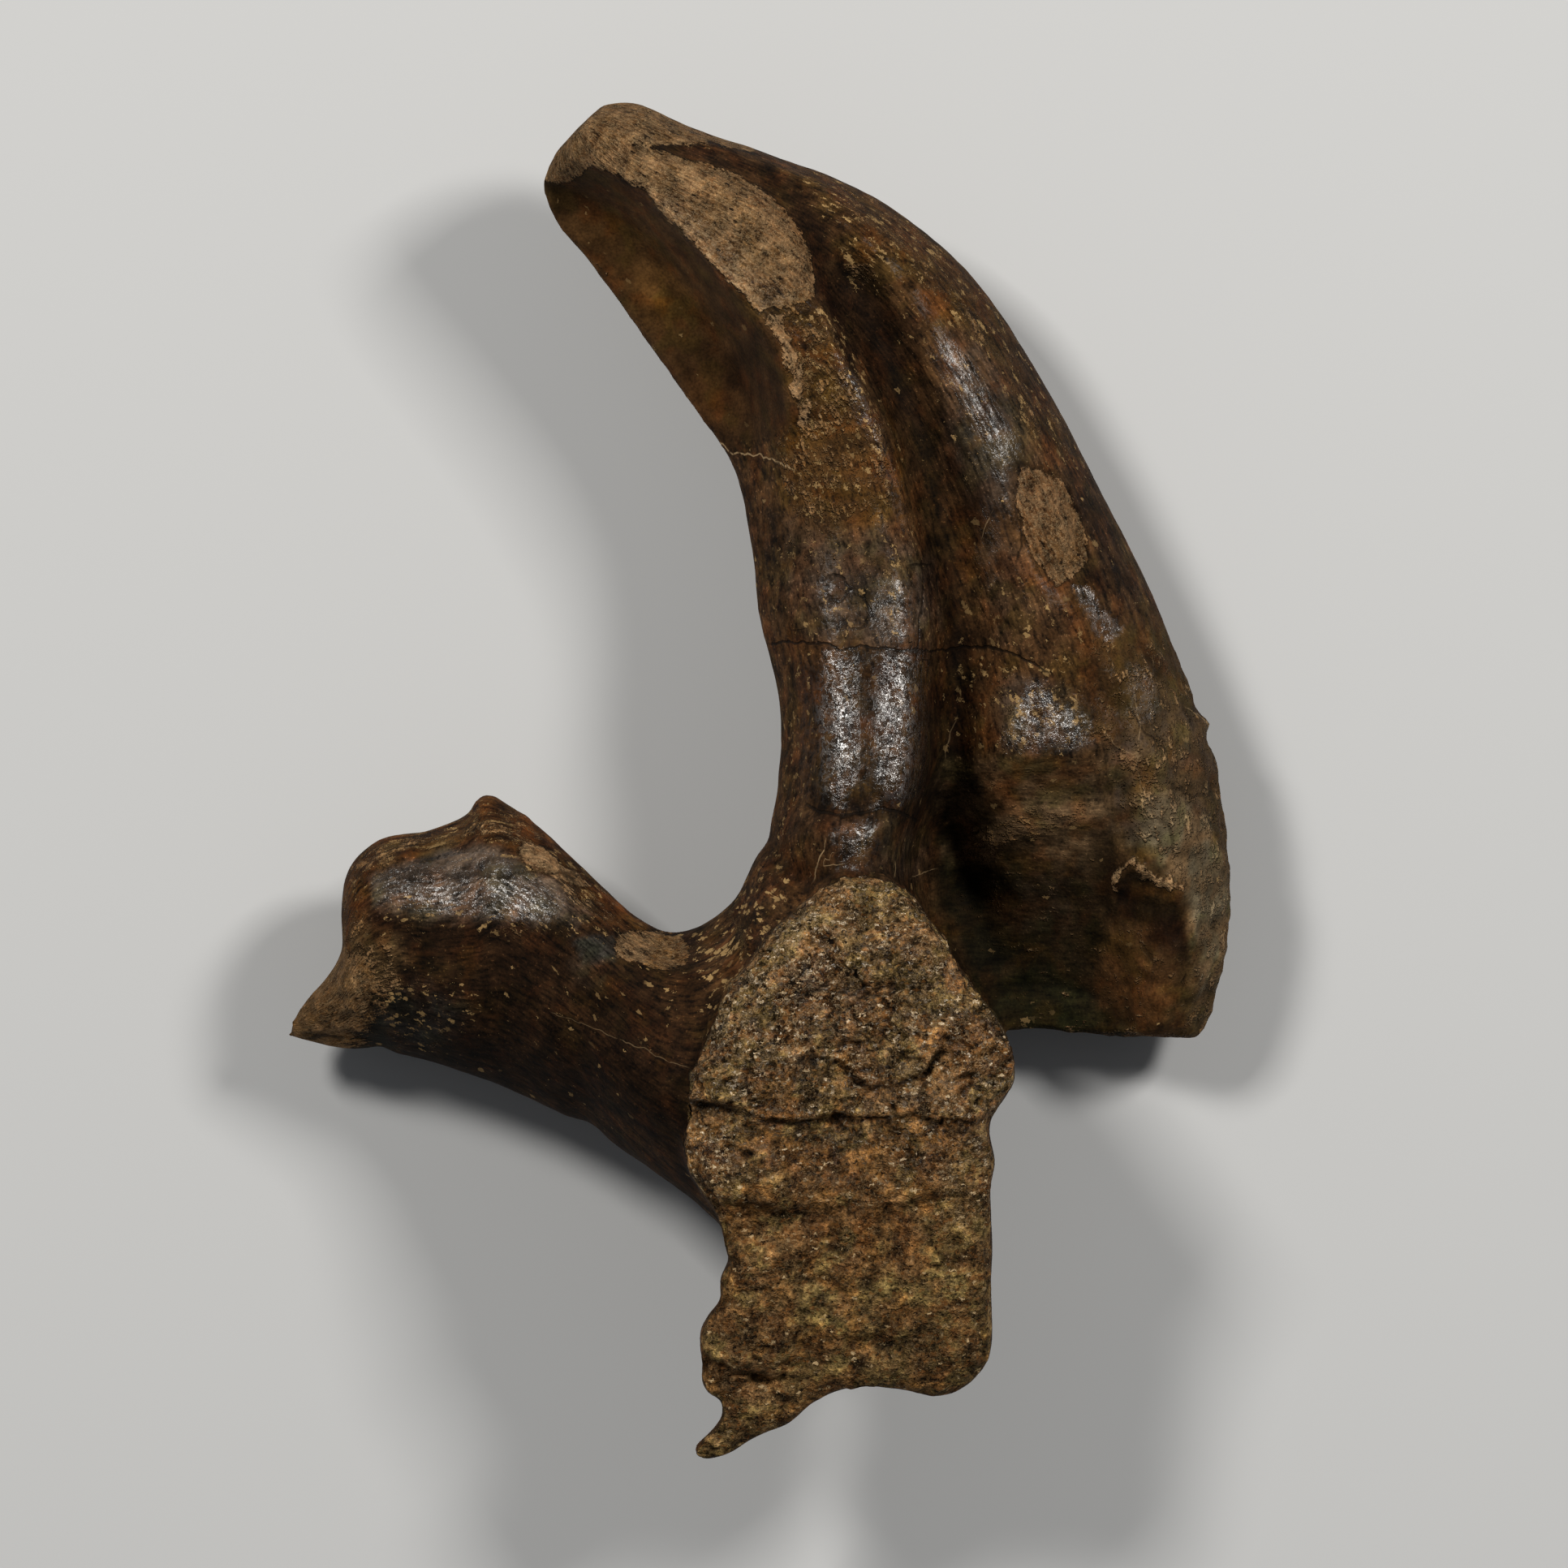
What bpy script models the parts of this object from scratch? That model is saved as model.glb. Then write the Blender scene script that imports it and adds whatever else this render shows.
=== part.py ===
"""Half of a hadrosaur's neck-vertebra arch, fossilised and broken, lying with its suture face up.

Three lobes make the bone: the horn that sweeps up from the arch's roof, the side process, and the
pedicle with its rough suture face. Each lobe is a closed skin over ribs or an outline, and a voxel
remesh grows them together. Grooves, ledges and worn places are then pressed into the skin, and the
three places it lies on are cut flat. Sizes are in millimetres until the last step: +X is right, +Y is
towards the horn's tip, +Z is up.
"""

from dataclasses import dataclass

import bmesh
import bpy
import numpy as np
from mathutils import Matrix, Vector, noise

NODE = "vertebra_process"
MM = 0.001

# Driving dimensions.
BONE_LENGTH = 200.0
BONE_WIDTH = 140.0
WORN_FOOT = 0.8

# How finely the skins are drawn before the remesh, and how many triangles are kept after it.
ROUND_SAMPLES = 72
LENGTH_SAMPLES = 120
CUSHION_RINGS = 40
VOXEL = 1.15
SOFTENING_SHARE = 0.5
SOFTENING_PASSES = 4
MOST_TRIANGLES = 9400

# A surface that leans less than this much takes its relief in full: the gain on the height of its normal.
RELIEF_GAIN = 2.0
SHARP_ANGLE = 50.0

# Looks of the bare solid.
BONE_COLOUR = (0.085, 0.045, 0.022, 1.0)
BONE_ROUGHNESS = 0.45


@dataclass
class Rib:
    """One cross-section of a lobe: its two ends, and heights at shares of the way between them."""

    start: tuple
    end: tuple
    front: tuple
    back: tuple
    bow: float = 0.0

    def ring(self):
        """The section's points in order: start, along the upper side, end, and back along the ground side."""
        upper = [self.between(share, height) for share, height in self.front]
        lower = [self.between(share, height) for share, height in self.back]
        return np.array([self.start, *upper, self.end, *lower])

    def between(self, share, height):
        """The point at a share of the rib, at its height, pushed up the bone by the rib's bow."""
        x = self.start[0] + (self.end[0] - self.start[0]) * share
        y = self.start[1] + (self.end[1] - self.start[1]) * share
        return (x, y + self.bow * 4.0 * share * (1.0 - share), height)


@dataclass
class Stroke:
    """A hollow, or a ridge where its height is above zero, along a line on the upper or the ground side."""

    line: tuple
    width: float
    height: float
    upper: bool = True

    def lift(self, points):
        """How far the stroke raises each point: its height, fading as a bell does away from the line."""
        return self.height * np.exp(-((distance_to_line(points, self.line) / self.width) ** 2))


@dataclass
class Ledge:
    """A shelf across the suture face: below its line, drawn left to right, the bone drops and comes back."""

    line: tuple
    drop: float
    recovery: float
    lip: float = 1.2

    def lift(self, points):
        """How far the ledge raises each point: a sharp drop past the line, which fades away from it."""
        line = np.array(self.line)
        below = np.interp(points[:, 0], line[:, 0], line[:, 1]) - points[:, 1]
        fallen = np.clip(below / self.lip + 0.5, 0.0, 1.0)
        fading = np.exp(-np.maximum(below, 0.0) / self.recovery)
        past_end = np.maximum(line[0, 0] - points[:, 0], points[:, 0] - line[-1, 0])
        return -self.drop * fallen * fading * np.exp(-((np.maximum(past_end, 0.0) / self.recovery) ** 2))


# The horn and the roof of the nerve canal, from the tip down to the roof's front edge. The upper heights
# are those of the joint face, its rim, the rim's far side, the groove, the main ridge and the shoulder
# outside it.
HORN_AND_ROOF = (
    Rib((-30.2, 92.3, 33), (-23.0, 99.5, 34),
        ((0.12, 36), (0.30, 38.5), (0.50, 39.5), (0.65, 39.5), (0.80, 38.5), (0.92, 36.5)),
        ((0.8, 27), (0.5, 25), (0.2, 27))),
    Rib((-32.0, 88.0, 28), (-18.0, 99.5, 33),
        ((0.08, 31), (0.22, 36), (0.45, 42.5), (0.62, 43), (0.78, 41.5), (0.92, 38)),
        ((0.8, 21), (0.5, 18), (0.2, 20))),
    Rib((-30.2, 82.5, 25), (-9.2, 95.8, 29),
        ((0.22, 29.5), (0.50, 45), (0.70, 46), (0.84, 43.5), (0.91, 40.5), (0.97, 35)),
        ((0.8, 17), (0.5, 13), (0.2, 15.5))),
    Rib((-25.3, 76.5, 24), (3.0, 91.7, 25),
        ((0.24, 30.5), (0.44, 46.5), (0.68, 46.5), (0.84, 41.5), (0.92, 39), (0.97, 33.5)),
        ((0.8, 13), (0.5, 8.5), (0.2, 13))),
    Rib((-18.8, 67.5, 23), (17.0, 86.0, 20),
        ((0.21, 30), (0.38, 47), (0.62, 45), (0.74, 40), (0.86, 38.5), (0.94, 32)),
        ((0.8, 7.5), (0.5, 5), (0.2, 12))),
    Rib((-10.7, 56.0, 23), (31.0, 75.0, 16),
        ((0.18, 31), (0.325, 46.5), (0.50, 44), (0.63, 35), (0.80, 38.5), (0.93, 29)),
        ((0.8, 2.2), (0.5, 1.6), (0.2, 11.5))),
    Rib((-3.8, 46.0, 25), (42.2, 58.7, 14),
        ((0.09, 34), (0.20, 43.5), (0.45, 44), (0.57, 33.5), (0.77, 38.5), (0.92, 28.5)),
        ((0.8, -0.4), (0.5, 0.6), (0.2, 13))),
    Rib((-1.1, 34.0, 27), (51.0, 42.0, 13),
        ((0.06, 36), (0.17, 44), (0.42, 45), (0.53, 32), (0.72, 38), (0.90, 28.5)),
        ((0.8, -0.4), (0.5, 2.6), (0.2, 14))),
    Rib((0.2, 24.0, 28), (58.6, 27.0, 13.5),
        ((0.05, 37.5), (0.16, 45.5), (0.38, 46.5), (0.495, 30), (0.67, 37), (0.88, 29.5)),
        ((0.8, 1.5), (0.5, 5), (0.2, 14))),
    Rib((3.0, 12.0, 29), (64.3, 13.0, 14.5),
        ((0.05, 40), (0.14, 47.5), (0.31, 48), (0.41, 26), (0.60, 35.5), (0.86, 31)),
        ((0.8, 2.5), (0.5, 6), (0.2, 14))),
    Rib((3.3, 5.0, 30), (66.9, 6.0, 15),
        ((0.05, 41), (0.14, 48.5), (0.29, 48.5), (0.39, 23), (0.60, 33.5), (0.86, 31)),
        ((0.8, 2.5), (0.5, 6), (0.2, 13.5))),
    Rib((2.8, -2.0, 30), (68.9, -2.5, 15.5),
        ((0.05, 42.5), (0.13, 49.5), (0.265, 48.5), (0.37, 17), (0.57, 25), (0.85, 30.5)),
        ((0.8, 2.0), (0.5, 5.5), (0.2, 13))),
    Rib((1.9, -9.5, 31), (70.2, -12.5, 16),
        ((0.05, 46), (0.12, 52), (0.24, 49), (0.36, 13), (0.57, 19), (0.85, 29.5)),
        ((0.8, 1.0), (0.5, 5), (0.2, 12))),
    Rib((5.0, -20.0, 29), (70.1, -22.5, 15),
        ((0.07, 46), (0.13, 50), (0.22, 45), (0.355, 13), (0.555, 15), (0.85, 27)),
        ((0.8, -1.0), (0.5, 4.5), (0.2, 11))),
    Rib((17.0, -29.5, 24), (68.4, -31.2, 13),
        ((0.06, 38), (0.12, 40), (0.20, 34), (0.31, 13), (0.53, 12.5), (0.84, 23.5)),
        ((0.8, -1.4), (0.5, 4.5), (0.2, 10))),
    Rib((24.0, -38.8, 15), (66.2, -38.8, 11),
        ((0.06, 20), (0.12, 20), (0.20, 17), (0.30, 12), (0.53, 11.5), (0.84, 19)),
        ((0.8, 1.5), (0.5, 4.5), (0.2, 8)), bow=2.0),
)

# The side process, from the broken prong at its end in to the pedicle. The upper heights are those of the
# slope outside the long rounded ridge, the ridge, and the flat inside it.
SIDE_PROCESS = (
    Rib((-68.2, -33.9, 14), (-70.2, -38.2, 12.5),
        ((0.20, 16.5), (0.45, 17.5), (0.75, 16)), ((0.7, 10), (0.35, 10))),
    Rib((-62.2, -26.0, 17), (-63.0, -40.0, 12),
        ((0.15, 21), (0.40, 24), (0.75, 21)), ((0.7, 5), (0.35, 4))),
    Rib((-62.1, -18.5, 19), (-58.0, -40.0, 11.5),
        ((0.12, 24.5), (0.36, 28.5), (0.75, 25)), ((0.7, 2), (0.35, 1))),
    Rib((-60.7, -13.0, 19.5), (-54.5, -40.7, 12),
        ((0.13, 26.5), (0.35, 31), (0.74, 28)), ((0.7, 0.0), (0.35, -0.5))),
    Rib((-56.0, -8.9, 19.5), (-50.0, -41.8, 13),
        ((0.14, 28), (0.36, 33), (0.73, 30.5)), ((0.7, 0.0), (0.35, -0.5))),
    Rib((-49.0, -7.8, 19.5), (-44.5, -43.5, 14.5),
        ((0.15, 29), (0.37, 35.5), (0.72, 33.5)), ((0.7, 1.5), (0.35, 0))),
    Rib((-43.0, -5.2, 19), (-40.0, -45.1, 16),
        ((0.16, 30), (0.39, 37), (0.70, 35.5)), ((0.7, 4), (0.35, 1))),
    Rib((-40.5, -2.4, 19), (-37.5, -46.1, 17),
        ((0.17, 30.5), (0.41, 38), (0.70, 37)), ((0.7, 5), (0.35, 2))),
    Rib((-37.8, -3.7, 20), (-34.5, -47.3, 18),
        ((0.17, 32), (0.41, 39), (0.70, 38.5)), ((0.7, 6), (0.35, 3))),
    Rib((-32.0, -8.0, 22), (-28.5, -50.1, 20),
        ((0.15, 34.5), (0.37, 41.5), (0.70, 41.5)), ((0.7, 8), (0.35, 6))),
    Rib((-25.0, -14.3, 25), (-22.0, -53.6, 24),
        ((0.12, 37.5), (0.25, 44.5), (0.70, 46)), ((0.7, 12), (0.35, 9))),
    Rib((-18.0, -20.7, 28), (-16.0, -57.8, 28),
        ((0.10, 40), (0.20, 47), (0.70, 50.5)), ((0.7, 16), (0.35, 12))),
    Rib((-11.5, -22.8, 30), (-10.2, -61.8, 32),
        ((0.10, 42), (0.22, 50), (0.70, 54)), ((0.7, 19), (0.35, 14))),
    Rib((-4.0, -18.5, 31), (-5.0, -66.0, 36),
        ((0.10, 43), (0.25, 52), (0.70, 56)), ((0.7, 23), (0.35, 15))),
    Rib((1.5, -9.6, 31), (2.0, -66.0, 38),
        ((0.12, 46), (0.28, 53), (0.70, 56)), ((0.7, 27), (0.35, 17))),
    Rib((14.0, -10.0, 32), (10.0, -60.0, 40),
        ((0.12, 46), (0.28, 53), (0.70, 56)), ((0.7, 31), (0.35, 22))),
    Rib((22.0, -16.0, 36), (20.0, -52.0, 42),
        ((0.12, 46), (0.28, 50), (0.70, 53)), ((0.7, 36), (0.35, 31))),
)

# The suture face's outline, from its top point down the left side and up the right.
SUTURE_OUTLINE = (
    (12.5, -14.3), (9.0, -16.0), (5.0, -19.5), (1.5, -22.5), (-1.5, -27.0), (-4.5, -30.0), (-6.5, -35.0),
    (-8.0, -39.0), (-10.0, -43.0), (-10.3, -48.0), (-11.0, -53.0), (-10.7, -57.0), (-9.0, -60.0),
    (-5.9, -64.5), (-4.9, -68.0), (-4.4, -71.0), (-5.9, -74.0), (-5.4, -76.5), (-7.4, -79.0),
    (-8.7, -82.0), (-8.2, -86.0), (-8.5, -88.0), (-7.5, -90.5), (-5.5, -91.2), (-5.4, -94.0),
    (-7.5, -96.5), (-9.6, -98.6), (-9.0, -99.9), (-6.0, -100.0), (-3.5, -99.0), (-1.5, -97.5),
    (1.5, -96.0), (4.5, -94.8), (7.5, -92.0), (11.0, -90.3), (15.0, -89.3), (18.0, -89.5),
    (22.0, -90.0), (26.0, -90.9), (29.0, -90.2), (32.0, -88.0), (34.0, -85.0), (34.4, -80.0),
    (34.2, -75.0), (34.4, -70.0), (34.2, -65.0), (34.2, -60.0), (34.8, -56.0), (34.0, -53.0),
    (34.0, -50.5), (35.5, -48.0), (37.8, -44.0), (37.0, -40.0), (36.5, -37.5), (33.5, -33.5),
    (30.5, -29.0), (28.3, -26.0), (27.5, -23.5), (25.0, -20.5), (23.0, -17.5), (20.5, -15.5), (16.5, -14.2),
)
SUTURE_SPINE_X = 13.0
SUTURE_SPINE_ENDS = (-80.0, -30.0)
SUTURE_EDGE_POWER = 7.0
# Heights of the suture face and of the pedicle's ground side, by the place along Y.
SUTURE_FRONT = (
    (-100, 45), (-92, 48.5), (-85, 52), (-75, 55), (-66, 57), (-58, 59.5), (-48, 61.5), (-40, 62.5),
    (-30, 61.8), (-22, 59.5), (-14, 54.5),
)
SUTURE_BACK = ((-100, 40), (-92, 37.5), (-80, 33), (-65, 27), (-55, 23.5), (-45, 22), (-30, 24), (-14, 30))

# Shelves and lips across the suture face.
LEDGES = (
    Ledge(((-9, -47.5), (-4, -48), (0, -49.5), (5, -50.2), (12, -49.3), (22, -49.5), (30, -50), (36, -49)),
          2.6, 7.0),
    Ledge(((-8, -61), (-5, -62), (0, -63.5), (5, -64.3), (12, -64), (20, -63), (26, -62)), 2.2, 6.0),
    Ledge(((11, -41), (15, -44.3), (20, -45), (24, -43), (26, -40)), 2.0, 3.0),
    Ledge(((-9, -43.5), (-4, -44.5), (2, -46), (8, -45.5)), 1.2, 3.0),
    Ledge(((26, -46), (31, -45.5), (37, -44)), 1.4, 3.0),
    Ledge(((-10, -52), (-6, -53), (-2, -55)), 1.2, 3.0),
    Ledge(((-9, -85), (-3, -87), (3, -88)), 1.8, 4.0),
    Ledge(((15, -82.5), (20, -83), (26, -82)), 1.2, 4.0),
)

# Hollows and ridges, each along a line.
STROKES = (
    # The joint face is dished beside its rim, and the rim is sharp.
    Stroke(((-26, 86), (-19, 80), (-12, 72), (-5, 62), (-1, 54)), 5.0, -2.2),
    Stroke(((-24, 90.5), (-17, 86.5), (-11, 80), (-5, 73.5), (0, 68), (4, 61), (5, 54)), 1.6, 1.1),
    # The worn band's far edge, and the dark strip that runs beside it.
    Stroke(((-15, 94), (-7, 92), (0, 89.5), (5, 85), (10, 78), (11, 72)), 2.4, -1.4),
    # A thin crest stands on the column's right edge, beside the groove.
    Stroke(((9, 70), (12, 62), (15, 56), (18, 50), (21.5, 42), (23, 34)), 1.8, 0.9),
    # The groove is deepest along a line down its middle.
    Stroke(((15, 73), (17.5, 66), (20.5, 58), (24, 50), (26.5, 42), (28.5, 32), (29.5, 20), (29, 8),
            (27.5, -2)), 3.0, -1.8),
    # The canal's mouth is a deep pit between the column's foot and the roof.
    Stroke(((27, -4), (29, -10), (31, -17)), 3.2, -3.0),
    # A crease crosses the column's foot.
    Stroke(((6, -3.5), (13, -5), (20, -4.5), (24, -6)), 2.0, -1.3),
    # The main ridge has a slight crest down its length.
    Stroke(((27, 68), (32, 60), (36, 52), (38, 44), (40, 34)), 3.5, 0.8),
    # A big flake has come off the ridge's outer side.
    Stroke(((41, 43), (44, 37), (46, 31.5)), 4.0, -1.2),
    # The canal's far wall has a chipped lip with a hollow below it.
    Stroke(((53, -14.5), (57, -13.5), (62, -16)), 2.0, 1.4),
    Stroke(((56, -18.5), (59, -22), (60, -28)), 4.0, -2.4),
    Stroke(((63, -17), (65, -24), (64.5, -33)), 2.2, 1.2),
    Stroke(((30, -12), (36, -8.5), (44, -6), (50, -5)), 2.5, 0.9),
    # The side process has a rim along its top edge, and a shallow trough inside it.
    Stroke(((-57, -14), (-50, -11), (-41, -7.5), (-33, -12.5), (-27, -16)), 2.0, 1.0),
    Stroke(((-57, -23), (-45, -27), (-32, -31), (-18, -36)), 6.0, -1.2),
    # On the ground side: an oval joint face's dish and rim, the stub of the spine, and a small foramen.
    Stroke(((-46, -18), (-40, -24), (-35, -30)), 5.0, -1.6, upper=False),
    Stroke(((58, 14), (62, 2), (63, -8)), 3.0, 1.5, upper=False),
    Stroke(((9, 29), (10.5, 25)), 2.0, -1.4, upper=False),
    Stroke(((20, 60), (28, 40), (30, 20)), 5.0, -1.2, upper=False),
)

# The suture face's bumps: size and height of each layer of noise.
SUTURE_BUMPS = ((9.0, 1.1), (4.2, 0.8))


def hermite_curve(points, samples, closed):
    """A smooth curve through the points, its tangents weighed by the distances between them.

    Points may have any trailing shape, so whole ribs can be blended as well as single points.
    """
    points = np.asarray(points, float)
    flat = points.reshape(len(points), -1)
    if closed:
        flat = np.vstack([flat[-1:], flat, flat[:2]])
    else:
        flat = np.vstack([2 * flat[:1] - flat[1:2], flat, 2 * flat[-1:] - flat[-2:-1]])
    step = np.linalg.norm(np.diff(flat, axis=0), axis=1) ** 0.5
    slope = np.diff(flat, axis=0) / step[:, None]
    weight = step[:-1] + step[1:]
    tangent = (slope[:-1] * step[1:, None] + slope[1:] * step[:-1, None]) / weight[:, None]
    spans = len(step) - 2
    place = np.linspace(0.0, spans, samples, endpoint=not closed)
    span = np.minimum(place.astype(int), spans - 1)
    t = (place - span)[:, None]
    reach = step[span + 1][:, None]
    curve = (
        (2 * t**3 - 3 * t**2 + 1) * flat[span + 1]
        + (t**3 - 2 * t**2 + t) * reach * tangent[span]
        + (3 * t**2 - 2 * t**3) * flat[span + 2]
        + (t**3 - t**2) * reach * tangent[span + 1]
    )
    return curve.reshape((samples,) + points.shape[1:])


def distance_to_line(points, line):
    """Each point's distance in plan from a line of straight runs."""
    line = np.array(line, float)
    nearest = np.full(len(points), np.inf)
    for a, b in zip(line, line[1:]):
        along = b - a
        share = np.clip((points[:, :2] - a) @ along / (along @ along), 0.0, 1.0)
        gap = np.linalg.norm(points[:, :2] - a - share[:, None] * along, axis=1)
        nearest = np.minimum(nearest, gap)
    return nearest


def inside_outline(points, outline):
    """Whether each point is inside the outline in plan: its ray crosses the edges an odd number of times."""
    outline = np.array(outline, float)
    inside = np.zeros(len(points), bool)
    for a, b in zip(outline, np.roll(outline, -1, axis=0)):
        straddles = (a[1] > points[:, 1]) != (b[1] > points[:, 1])
        crossing = a[0] + (points[:, 1] - a[1]) * (b[0] - a[0]) / (b[1] - a[1] or 1.0)
        inside ^= straddles & (points[:, 0] < crossing)
    return inside


def skin_over(name, rings):
    """A closed mesh over rings of points, with a fan at each end."""
    around = rings.shape[1]
    body = bmesh.new()
    rows = [[body.verts.new(point) for point in ring] for ring in rings]
    for one, two in zip(rows, rows[1:]):
        for k in range(around):
            after = (k + 1) % around
            body.faces.new((one[k], one[after], two[after], two[k]))
    for row in (rows[0], rows[-1]):
        middle = body.verts.new(np.mean([vert.co for vert in row], axis=0))
        for k in range(around):
            body.faces.new((row[k], row[(k + 1) % around], middle))
    bmesh.ops.recalc_face_normals(body, faces=body.faces)
    mesh = bpy.data.meshes.new(name)
    body.to_mesh(mesh)
    body.free()
    made = bpy.data.objects.new(name, mesh)
    bpy.context.scene.collection.objects.link(made)
    return made


def ribbed_lobe(name, ribs):
    """The closed skin over a row of ribs."""
    sections = [hermite_curve(rib.ring(), ROUND_SAMPLES, closed=True) for rib in ribs]
    return skin_over(name, hermite_curve(sections, LENGTH_SAMPLES, closed=False))


def pedicle_lobe(name):
    """The pedicle: the outline drawn in towards a spine, over and under, as a cushion with a tight edge."""
    outline = hermite_curve(SUTURE_OUTLINE, 3 * len(SUTURE_OUTLINE), closed=True)
    spine = np.column_stack([
        np.full(len(outline), SUTURE_SPINE_X),
        np.clip(outline[:, 1], *SUTURE_SPINE_ENDS),
    ])
    front_at, front = np.array(SUTURE_FRONT, float).T
    back_at, back = np.array(SUTURE_BACK, float).T
    rings = []
    for turn in np.linspace(0.0, np.pi, CUSHION_RINGS + 2)[1:-1]:
        reach = np.sin(turn) ** (2.0 / SUTURE_EDGE_POWER)
        lift = np.sign(np.cos(turn)) * abs(np.cos(turn)) ** (2.0 / SUTURE_EDGE_POWER)
        plan = spine + (outline - spine) * reach
        high = np.interp(plan[:, 1], front_at, front)
        low = np.interp(plan[:, 1], back_at, back)
        rings.append(np.column_stack([plan, (high + low) / 2 + (high - low) / 2 * lift]))
    return skin_over(name, np.array(rings))


def baked(bone):
    """Makes what the modifiers show the object's own mesh, and clears them."""
    graph = bpy.context.evaluated_depsgraph_get()
    mesh = bpy.data.meshes.new_from_object(bone.evaluated_get(graph))
    bone.modifiers.clear()
    bone.data = mesh


def grow_together(lobes):
    """The lobes as one object: joined, remeshed as one skin, and smoothed where they meet."""
    bpy.ops.object.select_all(action="DESELECT")
    for lobe in lobes:
        lobe.select_set(True)
    bpy.context.view_layer.objects.active = lobes[0]
    bpy.ops.object.join()
    bone = bpy.context.view_layer.objects.active
    skin = bone.modifiers.new("skin", "REMESH")
    skin.mode = "VOXEL"
    skin.voxel_size = VOXEL
    soften = bone.modifiers.new("soften", "SMOOTH")
    soften.factor = SOFTENING_SHARE
    soften.iterations = SOFTENING_PASSES
    baked(bone)
    return bone


def press_relief(bone):
    """Presses the ledges, the strokes and the suture face's bumps into the skin, straight up or down."""
    mesh = bone.data
    points = np.array([vert.co for vert in mesh.vertices])
    facing = np.array([vert.normal.z for vert in mesh.vertices])
    suture = inside_outline(points, SUTURE_OUTLINE) & (facing > 0.0)
    up = np.clip(facing * RELIEF_GAIN, 0.0, 1.0)
    down = np.clip(-facing * RELIEF_GAIN, 0.0, 1.0)
    lift = np.zeros(len(points))
    for ledge in LEDGES:
        lift += ledge.lift(points) * up * suture
    for stroke in STROKES:
        if stroke.upper:
            lift += stroke.lift(points) * up * ~suture
        else:
            lift -= stroke.lift(points) * down
    for size, height in SUTURE_BUMPS:
        bumps = [noise.noise(Vector(point) / size) for point in points]
        lift += height * np.array(bumps) * up * suture
    points[:, 2] += lift
    mesh.vertices.foreach_set("co", points.ravel())
    mesh.update()


def thin_out(bone):
    """Keeps only as many triangles as the solid needs."""
    bone.data.calc_loop_triangles()
    thin = bone.modifiers.new("thin", "DECIMATE")
    thin.ratio = MOST_TRIANGLES / len(bone.data.loop_triangles)
    thin.use_collapse_triangulate = True
    baked(bone)


def cut_feet(bone):
    """Flattens the places that the bone lies on, by cutting off everything under the ground."""
    ground = bpy.data.meshes.new("ground")
    body = bmesh.new()
    bmesh.ops.create_cube(body, size=2.0 * BONE_LENGTH, matrix=Matrix.Translation((0, 0, -BONE_LENGTH)))
    body.to_mesh(ground)
    body.free()
    cutter = bpy.data.objects.new("ground_cutter", ground)
    bpy.context.scene.collection.objects.link(cutter)
    cut = bone.modifiers.new("feet", "BOOLEAN")
    cut.operation = "DIFFERENCE"
    cut.solver = "EXACT"
    cut.object = cutter
    baked(bone)
    bpy.data.objects.remove(cutter)


def fit_size(bone):
    """Sets the bone's width and length, centres it in plan, and sinks its feet a little into the ground."""
    points = np.array([vert.co for vert in bone.data.vertices])
    low = points.min(axis=0)
    high = points.max(axis=0)
    middle = Vector((low + high) / 2)
    width, length = (high - low)[:2]
    middle.z = low[2] + WORN_FOOT
    grow = Matrix.Diagonal((BONE_WIDTH / width, BONE_LENGTH / length, 1.0, 1.0))
    bone.data.transform(grow @ Matrix.Translation(-middle))


def bone_material():
    """Dark brown fossil bone with a dull shine."""
    material = bpy.data.materials.new("fossil_bone")
    material.use_nodes = True
    surface = material.node_tree.nodes["Principled BSDF"]
    surface.inputs["Base Color"].default_value = BONE_COLOUR
    surface.inputs["Roughness"].default_value = BONE_ROUGHNESS
    surface.inputs["Metallic"].default_value = 0.0
    return material


def main():
    """Builds the bone from its three lobes."""
    for thing in list(bpy.data.objects):
        bpy.data.objects.remove(thing)
    bone = grow_together([
        ribbed_lobe("horn_and_roof", HORN_AND_ROOF),
        ribbed_lobe("side_process", SIDE_PROCESS),
        pedicle_lobe("pedicle"),
    ])
    bone.name = NODE
    press_relief(bone)
    thin_out(bone)
    fit_size(bone)
    cut_feet(bone)
    bone.data.transform(Matrix.Scale(MM, 4))
    bone.data.materials.clear()
    bone.data.materials.append(bone_material())
    bone.data.shade_smooth()
    bone.data.set_sharp_from_angle(angle=np.radians(SHARP_ANGLE))


main()
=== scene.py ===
"""Half of the arch of a duck-billed dinosaur's neck vertebra: a dark fossil, lying with its suture face up.

The bone is one piece. Its horn with the roof of the nerve canal, its side process and its pedicle are
skins worked out in millimetres and grown together. Relief is pressed into the skin, tints are laid on in
places drawn in plan, and the finish adds fibres, grains, cracks and shine.
+X is towards the roof of the canal, +Y towards the horn's tip, +Z up.
"""

import logging
import math
from dataclasses import dataclass
from enum import Enum
from typing import Any, Sequence

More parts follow.
